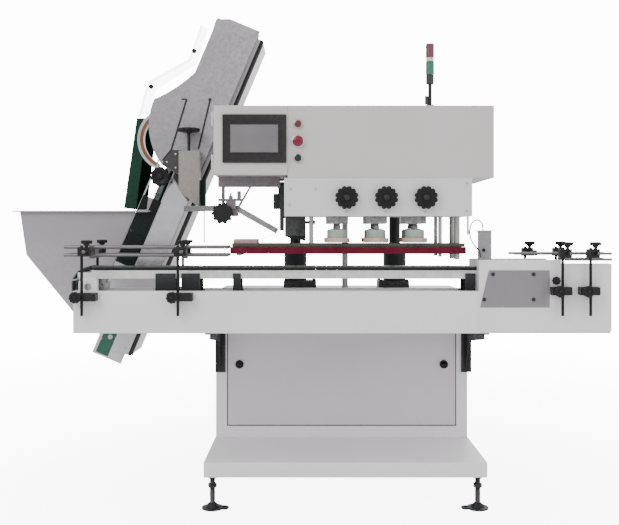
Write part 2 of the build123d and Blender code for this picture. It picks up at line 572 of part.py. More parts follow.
# ---- head -----------------------------------------------------------------------------------
# the control door's hinge: pin axis, knuckle radius, and knuckle heights on the door and the casing
HINGE_X, HINGE_Y, HINGE_R = HEAD_X0 - 4, HEAD_FRONT - 1.5, 4
DOOR_KNUCKLES = ((1200, 1224), (1374, 1398))
CASING_KNUCKLES = ((1225, 1249), (1349, 1373))

BUTTON_X, ESTOP_Z, STOP_Z, START_Z = -166, 1295, 1355, 1237
TOWER_X, TOWER_Y = 301, -360
with BuildPart() as head_casing:
    slab(HEAD_X0, HEAD_X1, HEAD_FRONT, HEAD_BACK, HEAD_LOW, HEAD_TOP)
    slab(HEAD_X0 + SHEET, HEAD_SPLIT - SHEET, HEAD_FRONT - 1, HEAD_BACK - SHEET,
         HEAD_LOW_LEFT + SHEET, HEAD_TOP - SHEET, Mode.SUBTRACT)
    slab(HEAD_SPLIT, HEAD_X1 - SHEET, HEAD_FRONT + SHEET, HEAD_BACK - SHEET,
         HEAD_LOW + SHEET, HEAD_TOP - SHEET, Mode.SUBTRACT)
    slab(HEAD_X0 - 1, HEAD_SPLIT, HEAD_FRONT - 1, HEAD_BACK + 1, HEAD_LOW - 1, HEAD_LOW_LEFT, Mode.SUBTRACT)
    for z in (ESTOP_Z, STOP_Z, START_Z):
        rod_y(BUTTON_X, z, 8 + RUN_GAP, HEAD_FRONT - 1, HEAD_FRONT + 4, Mode.SUBTRACT)
    for z0, z1 in CASING_KNUCKLES:
        rod_z(HINGE_X, HINGE_Y, HINGE_R, z0, z1)
        slab(HINGE_X, HEAD_X0, HEAD_FRONT, HEAD_FRONT + 25, z0, z1)
    # fan grille slots in the back
    for slot in range(9):
        slab(-400, -280, HEAD_BACK - 4, HEAD_BACK + 1, 1240 + slot * 14, 1246 + slot * 14, Mode.SUBTRACT)
save(head_casing, "head_casing")

CASE_WALL, CASE_FLOOR = 4, 10
CARRY_LOW = 1009
SLIDE_IN, SLIDE_OUT = 25, 25
GRIP_CX0, GRIP_CX1 = GRIP_X0 + GRIP_R, GRIP_X1 - GRIP_R
with BuildPart() as gear_case:
    slab(CASE_X0, CASE_X1, HEAD_FRONT, CASE_BACK, CASE_LOW, HEAD_LOW)
    slab(CASE_X0 + CASE_WALL, CASE_X1 - CASE_WALL, HEAD_FRONT + CASE_WALL, CASE_BACK - CASE_WALL,
         CASE_LOW + CASE_FLOOR, HEAD_LOW - CASE_WALL, Mode.SUBTRACT)
    for x in STATIONS:
        slab(x - 38, x + 38, WHEEL_REAR - 30, WHEEL_REAR + 30, CARRY_LOW, CASE_LOW)
        rod_z(x, WHEEL_REAR, SPINDLE_R + RUN_GAP, CARRY_LOW - 1, CASE_LOW + 11, Mode.SUBTRACT)
        slab(x - 14, x + 45, WHEEL_FRONT - 16 - SLIDE_OUT, WHEEL_FRONT + 16 + SLIDE_IN,
             CASE_LOW - 1, CASE_LOW + 11, Mode.SUBTRACT)
    for x in GAP_KNOBS:
        rod_y(x, KNOB_Z, 6 + RUN_GAP, HEAD_FRONT - 1, HEAD_FRONT + 5, Mode.SUBTRACT)
    for y in (GRIP_FRONT, GRIP_REAR):
        rod_z(GRIP_CX1, y, 10 + RUN_GAP, CASE_LOW - 1, CASE_LOW + 11, Mode.SUBTRACT)
    rod_z(CASE_X1 - 12, HEAD_FRONT + 20, 4, 970, CASE_LOW + 2)
save(gear_case, "gear_case")

for number, (station, knob_x) in enumerate(zip(STATIONS, GAP_KNOBS), 1):
    with BuildPart() as carriage:
        slab(station - 38, station + 38, WHEEL_FRONT - 30, WHEEL_FRONT + 30, CARRY_LOW, CASE_LOW - 0.1)
        slab(station - 12, station + 43, WHEEL_FRONT - 12, WHEEL_FRONT + 12, CASE_LOW - 0.1, KNOB_Z + 14)
        rod_z(station, WHEEL_FRONT, SPINDLE_R + RUN_GAP, CARRY_LOW - 1, KNOB_Z + 15, Mode.SUBTRACT)
        rod_y(knob_x, KNOB_Z, 6 + RUN_GAP, WHEEL_FRONT - 13, WHEEL_FRONT + 13, Mode.SUBTRACT)
    save(carriage, f"wheel_carriage_{number}")

    with BuildPart() as gap_knob:
        star_knob(knob_x, KNOB_Z, 41, HEAD_FRONT - 12, 18)
        rod_y(knob_x, KNOB_Z, 20, HEAD_FRONT - 13, HEAD_FRONT - 0.1)
        rod_y(knob_x, KNOB_Z, 6, HEAD_FRONT - 13, -300)
    save(gap_knob, f"gap_knob_{number}")

    for y, end in ((WHEEL_FRONT, "front"), (WHEEL_REAR, "rear")):
        with BuildPart() as wheel:
            rod_z(station, y, WHEEL_R, WHEEL_LOW, WHEEL_HIGH)
            rod_z(station, y, 34, WHEEL_HIGH, HUB_HIGH)
            rod_z(station, y, 12, HUB_HIGH, CARRY_LOW - 0.1)
            rod_z(station, y, SPINDLE_R, WHEEL_LOW, KNOB_Z + 20)
            fillet(wheel.edges().filter_by(GeomType.CIRCLE).filter_by_position(
                Axis.Z, HUB_HIGH - 0.1, HUB_HIGH + 0.1).sort_by(SortBy.RADIUS)[-1:], 4)
        save(wheel, f"capping_wheel_{number}_{end}")

PLATE_LOW_Z, PLATE_TOP_Z = GRIP_HIGH + 1, GRIP_HIGH + 1 + GRIP_PLATE
GRIP_BLOCK_X = (-394, -312)                # idler bearing block on each gripper's infeed end
with BuildPart() as gripper_frame:
    for y in (GRIP_FRONT, GRIP_REAR):
        slab(GRIP_X0 + 8, GRIP_X1 - 8, y - 24, y + 24, PLATE_LOW_Z, PLATE_TOP_Z)
        rod_z(GRIP_CX1, y, 10 + RUN_GAP, PLATE_LOW_Z - 1, PLATE_TOP_Z + 1, Mode.SUBTRACT)
        slab(GRIP_CX0 + 36, GRIP_CX1 - 36, y - 22, y + 22, GRIP_LOW, PLATE_LOW_Z)
        rod_z(GRIP_CX0, y, GRIP_R - 4, GRIP_LOW, GRIP_HIGH)
        rod_z(GRIP_CX0, y, 10, GRIP_LOW - 6, PLATE_LOW_Z)
        slab(*GRIP_BLOCK_X, y - 20, y + 20, PLATE_TOP_Z, 955)
        rod_z(-120, y, 8, PLATE_TOP_Z, CASE_LOW)
        rod_z(337, y, 7, GRIP_LOW - 10, CASE_LOW)
save(gripper_frame, "gripper_frame")

with BuildPart() as gripper_belts:
    for y in (GRIP_FRONT, GRIP_REAR):
        for radius, mode in ((GRIP_R, Mode.ADD), (GRIP_R - 4, Mode.SUBTRACT)):
            with BuildSketch(Plane.XY.offset(GRIP_LOW)):
                with Locations(((GRIP_CX0 + GRIP_CX1) / 2, y)):
                    SlotCenterToCenter(GRIP_CX1 - GRIP_CX0, 2 * radius)
            extrude(amount=GRIP_HIGH - GRIP_LOW, mode=mode)
save(gripper_belts, "gripper_belts")

for y, end in ((GRIP_FRONT, "front"), (GRIP_REAR, "rear")):
    with BuildPart() as pulley:
        rod_z(GRIP_CX1, y, GRIP_R - 4 - RUN_GAP, GRIP_LOW, GRIP_HIGH)
        rod_z(GRIP_CX1, y, 10, GRIP_LOW - 20, CASE_LOW + 40)
    save(pulley, f"gripper_drive_{end}")

with BuildPart() as cap_placer:
    slab(-214, -140, -332, -278, 965, CASE_LOW)
    plate_xz(((-214, 965), (-140, 965), (-140, 948), (-196, 958)), -326, -284)
    slab(-233, -218, -325, -285, 985, CASE_LOW + 125)
    slab(-256, -233, -320, -300, 1062, 1118)
    slab(-218, CASE_X0, -325, -285, 1030, 1130)
save(cap_placer, "cap_placer")

CHUTE_TOP, CHUTE_FOOT = (-392, 1067), (-232, 977)
chute_len = math.dist(CHUTE_TOP, CHUTE_FOOT)
chute_plane = Plane(origin=(CHUTE_TOP[0], LANE_Y, CHUTE_TOP[1]),
                    x_dir=(0, 1, 0), z_dir=(CHUTE_FOOT[0] - CHUTE_TOP[0], 0, CHUTE_FOOT[1] - CHUTE_TOP[1]))
with BuildPart() as cap_chute:
    with BuildSketch(chute_plane):
        Rectangle(54, 20)
        with Locations((0, -2)):
            Rectangle(46, 16, mode=Mode.SUBTRACT)
        with Locations((0, -9)):
            Rectangle(30, 3, mode=Mode.SUBTRACT)
    extrude(amount=chute_len - 12)
    # hanger rail under the control box, its drop arm and the chute's height knob
    slab(-440, -252, -330, -302, 1160, HEAD_LOW_LEFT)
    slab(-452, -230, -345, -330, 1140, 1160)
    slab(-452, -230, -345, -330, 1160, HEAD_LOW_LEFT)
    plate_xz(((-342, 1140), (-334, 1140), (-378, 1063), (-386, 1066)), -341, -333)
    slab(-446, -380, -341, -333, 1036, 1062)
    rod_y(-435, 1046, 8, -352, -341)
    star_knob(-435, 1046, 38, -352, 18)
    slab(-440, -428, -341, -333, 1056, 1142)
save(cap_chute, "cap_chute")

# ---- controls -------------------------------------------------------------------------------
with BuildPart() as control_door:
    slab(HEAD_X0 + 1, HEAD_SPLIT - 1, HEAD_FRONT - SHEET, HEAD_FRONT, HEAD_LOW_LEFT + 1, HEAD_TOP - 1)
    for z0, z1 in DOOR_KNUCKLES:
        rod_z(HINGE_X, HINGE_Y, HINGE_R, z0, z1)
        slab(HINGE_X, HEAD_X0 + 1, HEAD_FRONT - SHEET, HEAD_FRONT, z0, z1)
save(control_door, "control_door")

with BuildPart() as hmi_panel:
    face = HEAD_FRONT - SHEET
    slab(-428, -206, face - 8, face, 1220, 1388)
    slab(-401, -235, face - 9, face - 6, 1256, 1353, Mode.SUBTRACT)
    fillet(hmi_panel.edges().filter_by(Axis.Y).filter_by_position(Axis.X, -430, -405), 3)
save(hmi_panel, "hmi_panel")

for name, z, cap_r, cap_t, travel in (("emergency_stop_button", ESTOP_Z, 19, 14, 6),
                                      ("stop_button", STOP_Z, 12, 6, 4),
                                      ("start_button", START_Z, 12, 6, 4)):
    with BuildPart() as button:
        rod_y(BUTTON_X, z, 8, HEAD_FRONT - travel - 4, HEAD_FRONT + 22)
        rod_y(BUTTON_X, z, cap_r, HEAD_FRONT - travel - 2 - cap_t, HEAD_FRONT - travel - 2)
        fillet(button.faces().sort_by(Axis.Y)[0].edges(), min(cap_t, 6) * 0.6)
    save(button, name)

with BuildPart() as signal_tower:
    rod_z(TOWER_X, TOWER_Y, 21, HEAD_TOP, HEAD_TOP + 12)
    rod_z(TOWER_X, TOWER_Y, 6.5, HEAD_TOP + 12, 1504)
    slab(TOWER_X - 18, TOWER_X - 6.5, TOWER_Y - 4, TOWER_Y + 4, HEAD_TOP + 12, 1462)
    for r, z0, z1 in ((14, 1504, 1537), (15, 1537, 1581), (13.5, 1581, 1598), (15, 1598, 1644), (12, 1644, 1648)):
        rod_z(TOWER_X, TOWER_Y, r, z0, z1)
save(signal_tower, "signal_tower")

# ---- gearmotors -----------------------------------------------------------------------------
head_roller_x, head_roller_z = ROLLERS["elevator_head_roller"]
with BuildPart() as gearmotors:
    # conveyor drive, on the rear skirt
    slab(DRIVE_X - 20, DRIVE_X + 76, -207, -110, SPROCKET_Z - 60, SPROCKET_Z + 60)
    rod_y(DRIVE_X + 26, SPROCKET_Z, 42, -110, 60)
    # elevator drive, on the rear side plate
    slab(head_roller_x - 50, head_roller_x + 50, ELEV_BACK + 15, 330, head_roller_z - 55, head_roller_z + 55)
    rod_z(head_roller_x - 24, 295, 36, head_roller_z - 215, head_roller_z - 55)
    # lift drive, hung under the table
    slab(SCREW_X - 55, SCREW_X + 55, COLUMN_Y - 55, COLUMN_Y + 55, 620, 690)
    rod_y(SCREW_X, 655, 34, COLUMN_Y + 55, COLUMN_Y + 210)
    with Locations((SCREW_X, COLUMN_Y, (690 + TABLE_Z - 10) / 2)):
        with GridLocations(90, 90, 2, 2):
            Cylinder(6, TABLE_Z - 10 - 690)
save(gearmotors, "gearmotors")
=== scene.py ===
import json
import math

import bmesh
import bpy
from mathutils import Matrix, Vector


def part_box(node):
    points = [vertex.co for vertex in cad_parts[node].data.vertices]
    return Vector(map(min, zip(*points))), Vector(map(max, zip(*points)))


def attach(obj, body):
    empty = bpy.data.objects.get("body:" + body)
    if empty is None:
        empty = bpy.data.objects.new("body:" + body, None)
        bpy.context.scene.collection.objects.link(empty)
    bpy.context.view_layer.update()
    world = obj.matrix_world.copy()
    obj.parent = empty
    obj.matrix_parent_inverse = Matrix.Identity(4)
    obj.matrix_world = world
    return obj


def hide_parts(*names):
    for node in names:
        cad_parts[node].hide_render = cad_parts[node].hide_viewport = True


# The looks of an inline bottle capping machine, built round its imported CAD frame. Places are in
# metres with Z up and the front toward -Y; profiles, radii and edge widths are in millimetres.

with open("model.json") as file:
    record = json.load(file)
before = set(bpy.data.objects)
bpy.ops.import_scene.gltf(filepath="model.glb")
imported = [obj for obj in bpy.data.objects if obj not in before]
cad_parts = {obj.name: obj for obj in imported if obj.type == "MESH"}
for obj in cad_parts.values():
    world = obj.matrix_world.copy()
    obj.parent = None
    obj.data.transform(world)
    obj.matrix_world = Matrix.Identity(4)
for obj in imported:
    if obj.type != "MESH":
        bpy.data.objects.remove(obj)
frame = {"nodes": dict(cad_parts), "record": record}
NODES = frame["nodes"]
BODY_OF = {n: b for b, ns in frame["record"]["behaviour"]["bodies"].items() for n in ns}
SLOT_OF = {s["node"]: s["material_slot"] for s in frame["record"]["subparts"]}
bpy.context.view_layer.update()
MM = 0.001
X, Y, Z = Vector((1, 0, 0)), Vector((0, 1, 0)), Vector((0, 0, 1))
LANE_Y = -0.305


# ---- materials ---------------------------------------------------------------------------------
class Nodes:
    """A small helper that builds one procedural material. Sizes in it are in metres."""

    # numbers of the colour sockets on Blender's mix node, which share their names with others
    MIX_A, MIX_B, MIX_OUT = 6, 7, 2

    def __init__(self, name):
        self.mat = bpy.data.materials.new(name)
        self.mat.use_nodes = True
        self.tree = self.mat.node_tree
        self.surface = self.tree.nodes["Principled BSDF"]
        self.coords = self.add("ShaderNodeTexCoord").outputs["Object"]

    def add(self, kind, **settings):
        node = self.tree.nodes.new(kind)
        for key, value in settings.items():
            setattr(node, key, value)
        return node

    def link(self, a, b):
        self.tree.links.new(a, b)

    def fill(self, socket, value):
        """Gives a socket a number, a colour or the output of another node."""
        if isinstance(value, (int, float)):
            socket.default_value = value
        elif isinstance(value, (tuple, list)):
            socket.default_value = (*value, 1)
        else:
            self.link(value, socket)

    def scaled(self, scale):
        node = self.add("ShaderNodeMapping")
        node.inputs["Scale"].default_value = scale
        self.link(self.coords, node.inputs["Vector"])
        return node.outputs["Vector"]

    def noise(self, size, detail=3, stretch=(1, 1, 1), roughness=0.5):
        node = self.add("ShaderNodeTexNoise")
        node.inputs["Scale"].default_value = 1
        node.inputs["Detail"].default_value = detail
        node.inputs["Roughness"].default_value = roughness
        self.link(self.scaled(tuple(s / size for s in stretch)), node.inputs["Vector"])
        return node.outputs["Fac"]

    def spread(self, value, low, high, start=0.3, stop=0.7):
        """The value mapped from start..stop to low..high."""
        node = self.add("ShaderNodeMapRange")
        for key, number in zip(("From Min", "From Max", "To Min", "To Max"), (start, stop, low, high)):
            node.inputs[key].default_value = number
        self.link(value, node.inputs["Value"])
        return node.outputs["Result"]

    def maths(self, operation, a, b):
        node = self.add("ShaderNodeMath", operation=operation)
        for socket, value in zip(node.inputs, (a, b)):
            self.fill(socket, value)
        return node.outputs[0]

    def mix(self, factor, a, b):
        """Colour a where the factor is 0 and colour b where it is 1."""
        node = self.add("ShaderNodeMix", data_type="RGBA")
        sockets = (node.inputs["Factor"], node.inputs[self.MIX_A], node.inputs[self.MIX_B])
        for socket, value in zip(sockets, (factor, a, b)):
            self.fill(socket, value)
        return node.outputs[self.MIX_OUT]

    def bump(self, height, depth, strength=1.0, before=None):
        node = self.add("ShaderNodeBump")
        node.inputs["Distance"].default_value = depth
        node.inputs["Strength"].default_value = strength
        self.link(height, node.inputs["Height"])
        if before is not None:
            self.link(before, node.inputs["Normal"])
        return node.outputs["Normal"]

    def edges(self, low=0.53, high=0.60):
        """1 on worn convex edges, 0 elsewhere, broken up by noise."""
        pointy = self.add("ShaderNodeNewGeometry").outputs["Pointiness"]
        worn = self.spread(pointy, 0, 1, low, high)
        return self.maths("MULTIPLY", worn, self.spread(self.noise(0.012), 0.2, 1))

    def set(self, **values):
        names = {"color": "Base Color", "rough": "Roughness", "metal": "Metallic", "normal": "Normal",
                 "coat": "Coat Weight", "coat_rough": "Coat Roughness", "alpha": "Alpha",
                 "glow": "Emission Strength", "glow_color": "Emission Color",
                 "spec": "Specular IOR Level"}
        for key, value in values.items():
            self.fill(self.surface.inputs[names[key]], value)
        return self.mat


def darker(color, by):
    return tuple(c * by for c in color)


def painted(name, color, rough=0.42, worn=(0.55, 0.54, 0.52), dirt=0.9, peel=0.00012, spec=0.5):
    """Powder-coated sheet: orange peel, faint clouds in the colour, rubbed edges."""
    m = Nodes(name)
    clouds = m.mix(m.spread(m.noise(0.35), 0, 1), darker(color, dirt), color)
    specks = m.mix(m.spread(m.noise(0.004), 0, 1, 0.25, 0.6), darker(color, 0.96), clouds)
    paint = m.mix(m.maths("MULTIPLY", m.edges(), 0.35), specks, worn)
    normal = m.bump(m.noise(0.0022, 2), peel, 0.55)
    return m.set(color=paint, rough=m.spread(m.noise(0.09), rough - 0.05, rough + 0.08), normal=normal,
                 coat=0.24 * spec, coat_rough=0.3, spec=spec)


def brushed(name, color, along=(1, 1, 40), rough=0.34, metal=0.85):
    """Stainless sheet with a brushed grain, hand marks and bright edges."""
    m = Nodes(name)
    grain = m.noise(0.02, 4, along, 0.65)
    marks = m.noise(0.12, 2)
    tone = m.mix(m.spread(grain, 0, 1, 0.35, 0.65), darker(color, 0.88), color)
    tone = m.mix(m.maths("MULTIPLY", m.edges(), 0.5), tone, (0.9, 0.9, 0.9))
    shine = m.maths("ADD", m.spread(grain, rough - 0.06, rough + 0.06), m.spread(marks, -0.04, 0.08))
    return m.set(color=tone, metal=metal, rough=shine, normal=m.bump(grain, 0.00004, 0.5))


def polished(name, color, rough=0.12):
    """Polished or plated metal with a very fine grain."""
    m = Nodes(name)
    fine = m.noise(0.006, 4, (1, 1, 6))
    tone = m.mix(m.spread(m.noise(0.05), 0, 1), darker(color, 0.85), color)
    return m.set(color=tone, metal=1, rough=m.spread(fine, rough, rough + 0.12),
                 normal=m.bump(fine, 0.00002, 0.4))


def moulded(name, color, rough=0.4, grain=0.0009, depth=0.00006, rubbed=(0.12, 0.12, 0.12), spec=0.5):
    """Moulded plastic or phenolic: fine grain, slightly rubbed edges."""
    m = Nodes(name)
    tone = m.mix(m.spread(m.noise(0.02), 0, 1), darker(color, 0.8), color)
    tone = m.mix(m.maths("MULTIPLY", m.edges(0.52, 0.58), 0.5), tone, rubbed)
    return m.set(color=tone, rough=m.spread(m.noise(0.01), rough - 0.06, rough + 0.1), spec=spec,
                 normal=m.bump(m.noise(grain, 2), depth, 0.6))


def belting(name, color, rough=0.6, ribs=None, spec=0.5):
    """Rubber or PVC belting with scuffs and a fine fabric print."""
    m = Nodes(name)
    scuff = m.noise(0.03, 5, (1, 1, 1), 0.7)
    tone = m.mix(m.spread(scuff, 0, 1, 0.4, 0.75), color, tuple(c * 1.35 + 0.01 for c in color))
    wave = m.add("ShaderNodeTexWave")
    wave.inputs["Scale"].default_value = 1
    m.link(m.scaled(ribs or (180, 180, 180)), wave.inputs["Vector"])
    normal = m.bump(wave.outputs["Fac"], 0.00025, 0.35, m.bump(scuff, 0.0001, 0.5))
    return m.set(color=tone, rough=m.spread(scuff, rough, rough + 0.15), spec=spec, normal=normal)


def glassy(name, color, rough=0.05, alpha=0.22, spec=0.6):
    """Acrylic sheet with fine hazing."""
    m = Nodes(name)
    haze = m.noise(0.05, 4)
    tone = m.mix(m.spread(haze, 0, 1), color, darker(color, 0.93))
    return m.set(color=tone, rough=m.spread(haze, rough, rough + 0.08), alpha=alpha, spec=spec,
                 normal=m.bump(m.noise(0.15, 1), 0.0004, 0.2))


def lens(name, color, glow):
    """A ribbed lamp lens with a faint glow."""
    m = Nodes(name)
    tone = m.mix(m.spread(m.noise(0.008), 0, 1), darker(color, 0.75), color)
    wave = m.add("ShaderNodeTexWave", bands_direction="Z")
    wave.inputs["Scale"].default_value = 1
    m.link(m.scaled((1, 1, 90)), wave.inputs["Vector"])
    return m.set(color=tone, rough=0.18, coat=0.6, normal=m.bump(wave.outputs["Fac"], 0.0004, 0.4),
                 glow=glow, glow_color=color)


def screen_glass():
    """A switched-off operator panel's screen: smoky glass with a soft sheen."""
    m = Nodes("screen_glass")
    tone = m.mix(m.spread(m.noise(0.09, 1), 0, 1, 0.2, 0.8), (0.142, 0.130, 0.140), (0.175, 0.162, 0.172))
    return m.set(color=tone, rough=m.spread(m.noise(0.03), 0.12, 0.2), coat=0.8, coat_rough=0.08)


MAT = {
    "panel_paint": painted("panel_paint", (0.615, 0.565, 0.57)),
    "door_paint": painted("door_paint", (0.68, 0.635, 0.68)),
    "gear_paint": painted("gear_paint", (0.77, 0.745, 0.76), 0.4),
    "beam_paint": painted("beam_paint", (0.90, 0.87, 0.90), 0.38),
    "elevator_sheet": brushed("elevator_sheet", (0.57, 0.55, 0.575), rough=0.4, metal=0.6),
    "sorter_sheet": brushed("sorter_sheet", (0.285, 0.265, 0.289), rough=0.42, metal=0.55),
    "hopper_sheet": brushed("hopper_sheet", (0.375, 0.355, 0.375), (30, 30, 1), 0.42, 0.5),
    "dark_metal": painted("dark_metal", (0.015, 0.016, 0.018), 0.42, (0.2, 0.2, 0.2), spec=0.25),
    "polished_steel": polished("polished_steel", (0.64, 0.63, 0.66)),
    "rail_steel": polished("rail_steel", (0.20, 0.185, 0.195), 0.3),
    "copper_band": polished("copper_band", (0.30, 0.12, 0.06), 0.2),
    "machined_steel": brushed("machined_steel", (0.42, 0.43, 0.42), (6, 6, 1), 0.34, 0.9),
    "carriage_steel": brushed("carriage_steel", (0.085, 0.10, 0.09), (6, 6, 1), 0.5, 0.4),
    "chute_steel": brushed("chute_steel", (0.13, 0.13, 0.135), (6, 6, 1), 0.45, 0.5),
    # the next paint colours only the two dark sheets that are painted shade on the sorter and the elevator
    "painted_shade_grey": painted("painted_shade_grey", (0.052, 0.051, 0.052), 0.5, (0.2, 0.2, 0.2), spec=0.2),
    # the next matt black, with almost no sheen, is the elevator's edge strip: partly its own black, partly
    # painted shade of the elevator's side
    "edge_black_and_painted_shade": moulded("edge_black_and_painted_shade", (0.035, 0.035, 0.037), 0.8, rubbed=(0.05, 0.05, 0.05), spec=0.05),
    "motor_grey": painted("motor_grey", (0.10, 0.12, 0.15), 0.45, (0.3, 0.3, 0.3), 0.8, 0.0006),
    "chain_plastic": moulded("chain_plastic", (0.035, 0.043, 0.040), 0.42),
    "belt_green": belting("belt_green", (0.014, 0.085, 0.052)),
    "chute_green": painted("chute_green", (0.004, 0.030, 0.017), 0.5, (0.05, 0.15, 0.1), spec=0.12),
    "belt_red": belting("belt_red", (0.095, 0.001, 0.013), 0.55, (60, 60, 1), 0.15),
    "belt_guard": painted("belt_guard", (0.032, 0.027, 0.016), 0.4, (0.15, 0.14, 0.12)),
    "knob_black": moulded("knob_black", (0.009, 0.009, 0.010), 0.42, rubbed=(0.06, 0.06, 0.06), spec=0.22),
    "wheel_rubber": belting("wheel_rubber", (0.50, 0.36, 0.31), 0.55, (1, 1, 260)),
    "block_pink": moulded("block_pink", (0.36, 0.22, 0.22), 0.45, 0.0009, 0.00005, (0.6, 0.5, 0.5)),
    "wheel_hub": moulded("wheel_hub", (0.36, 0.42, 0.375), 0.38, 0.0009, 0.00004, (0.6, 0.62, 0.6)),
    "bed_strip": moulded("bed_strip", (0.74, 0.76, 0.73), 0.5, 0.0012, 0.00005, (0.8, 0.8, 0.8)),
    "clear_acrylic": glassy("clear_acrylic", (0.86, 0.93, 0.91)),
    "smoked_acrylic": glassy("smoked_acrylic", (0.012, 0.016, 0.016), 0.2, 0.85, 0.15),
    "hmi_black": moulded("hmi_black", (0.013, 0.010, 0.011), 0.45, 0.0006, 0.00008, spec=0.3),
    "stop_red": moulded("stop_red", (0.19, 0.006, 0.026), 0.25, 0.002, 0.00002, (0.35, 0.04, 0.07)),
    "lamp_dark_red": lens("lamp_dark_red", (0.11, 0.006, 0.014), 0.02),
    "start_green": moulded("start_green", (0.006, 0.022, 0.014), 0.25, 0.002, 0.00002, (0.05, 0.12, 0.08)),
    "lens_red": lens("lens_red", (0.17, 0.022, 0.05), 0.05),
    "lens_green": lens("lens_green", (0.020, 0.17, 0.10), 0.05),
    "lens_clear": lens("lens_clear", (0.72, 0.76, 0.74), 0.0),
    "tower_black": moulded("tower_black", (0.015, 0.016, 0.017), 0.3),
    "plate_grey": painted("plate_grey", (0.235, 0.222, 0.236), 0.4, (0.6, 0.6, 0.6)),
    "box_beige": painted("box_beige", (0.275, 0.25, 0.232), 0.42, (0.6, 0.6, 0.6)),
    "cable_black": moulded("cable_black", (0.02, 0.02, 0.02), 0.5),
    "placer_grey": painted("placer_grey", (0.024, 0.028, 0.026), 0.5, (0.3, 0.3, 0.3), spec=0.15),
    "hanger_grey": painted("hanger_grey", (0.13, 0.105, 0.12), 0.4, (0.4, 0.4, 0.4)),
    "zinc": polished("zinc", (0.62, 0.62, 0.60), 0.25),
    "screen": screen_glass(),
}


# ---- mesh helpers ------------------------------------------------------------------------------
SAME_POINT = 2e-5
FLAT_WITHIN = math.radians(0.6)
CREASE = 34
SCREW_RADIUS = 4.2


def add_piece(name, mesh, material, body, replaced=()):
    """Makes a mesh object a piece of the machine. The material is one key of MAT, or a list of them."""
    piece = bpy.data.objects.new(name, mesh)
    bpy.context.scene.collection.objects.link(piece)
    materials = material if isinstance(material, (list, tuple)) else [material]
    for key in materials:
        mesh.materials.append(MAT[key])
    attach(piece, body)
    if replaced:
        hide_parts(*replaced)


def crisp(mesh, angle=CREASE):
    """Smooth shading with sharp edges where faces meet at more than this angle, in degrees."""
    mesh.shade_smooth()
    mesh.set_sharp_from_angle(angle=math.radians(angle))
    return mesh


def bevelled(mesh, width, segments=2):
    """The mesh with its creases rounded and its flat faces kept flat in shading."""
    holder = bpy.data.objects.new("holder", mesh)
    bpy.context.scene.collection.objects.link(holder)
    edge = holder.modifiers.new("edge", "BEVEL")
    edge.width = width
    edge.segments = segments
    edge.limit_method = "ANGLE"
    edge.angle_limit = math.radians(CREASE)
    edge.miter_outer = "MITER_ARC"
    edge.use_clamp_overlap = False
    mesh.shade_smooth()
    weighted = holder.modifiers.new("weighted", "WEIGHTED_NORMAL")
    weighted.weight = 90
    graph = bpy.context.evaluated_depsgraph_get()
    rounded = bpy.data.meshes.new_from_object(holder.evaluated_get(graph))
    bpy.data.objects.remove(holder)
    return rounded


def from_bmesh(bm):
    """A mesh made from a bmesh, which is freed, with its faces turned outward."""
    bmesh.ops.recalc_face_normals(bm, faces=bm.faces)
    mesh = bpy.data.meshes.new("shape")
    bm.to_mesh(mesh)
    bm.free()
    return mesh


def welded(node):
    """A CAD node's mesh as a bmesh, with its doubled points merged."""
    bm = bmesh.new()
    bm.from_mesh(NODES[node].data)
    bmesh.ops.remove_doubles(bm, verts=bm.verts, dist=SAME_POINT)
    return bm


def node_mesh(node):
    """A clean copy of a CAD node's mesh: one face for each flat area."""
    bm = welded(node)
    bmesh.ops.dissolve_limit(bm, angle_limit=FLAT_WITHIN, verts=bm.verts, edges=bm.edges)
    mesh = bpy.data.meshes.new(node)
    bm.to_mesh(mesh)
    bm.free()
    return mesh


def skin(node, material=None, width=0.8, segments=2, repaint=None):
    """A piece that stands for a CAD node: the same shape with rounded edges. repaint gives a face's
    material number from its centre."""
    mesh = bevelled(node_mesh(node), width * MM, segments)
    slot = SLOT_OF[node]
    add_piece(node + "_skin", mesh, material or slot, BODY_OF[node], (node,))
    if repaint:
        for face in mesh.polygons:
            face.material_index = repaint(face.center)


def turned(profile, centre, axis, steps=48):
    """A lathe-turned shape: profile is (radius, height) pairs in mm up the axis."""
    centre, axis = Vector(centre), Vector(axis).normalized()
    side = axis.orthogonal().normalized()
    other = axis.cross(side)
    bm = bmesh.new()
    rings = []
    for radius, height in profile:
        base = centre + axis * height * MM
        if radius < 1e-6:
            rings.append([bm.verts.new(base)])
            continue
        ring = []
        for step in range(steps):
            a = math.tau * step / steps
            ring.append(bm.verts.new(base + (side * math.cos(a) + other * math.sin(a)) * radius * MM))
        rings.append(ring)
    for low, high in zip(rings, rings[1:]):
        for step in range(steps):
            following = (step + 1) % steps
            corners = [low[step % len(low)], low[following % len(low)],
                       high[following % len(high)], high[step % len(high)]]
            corners = list(dict.fromkeys(corners))
            if len(corners) > 2:
                bm.faces.new(corners)
    for ring in (rings[0], rings[-1]):
        if len(ring) > 2:
            bm.faces.new(ring)
    return crisp(from_bmesh(bm))


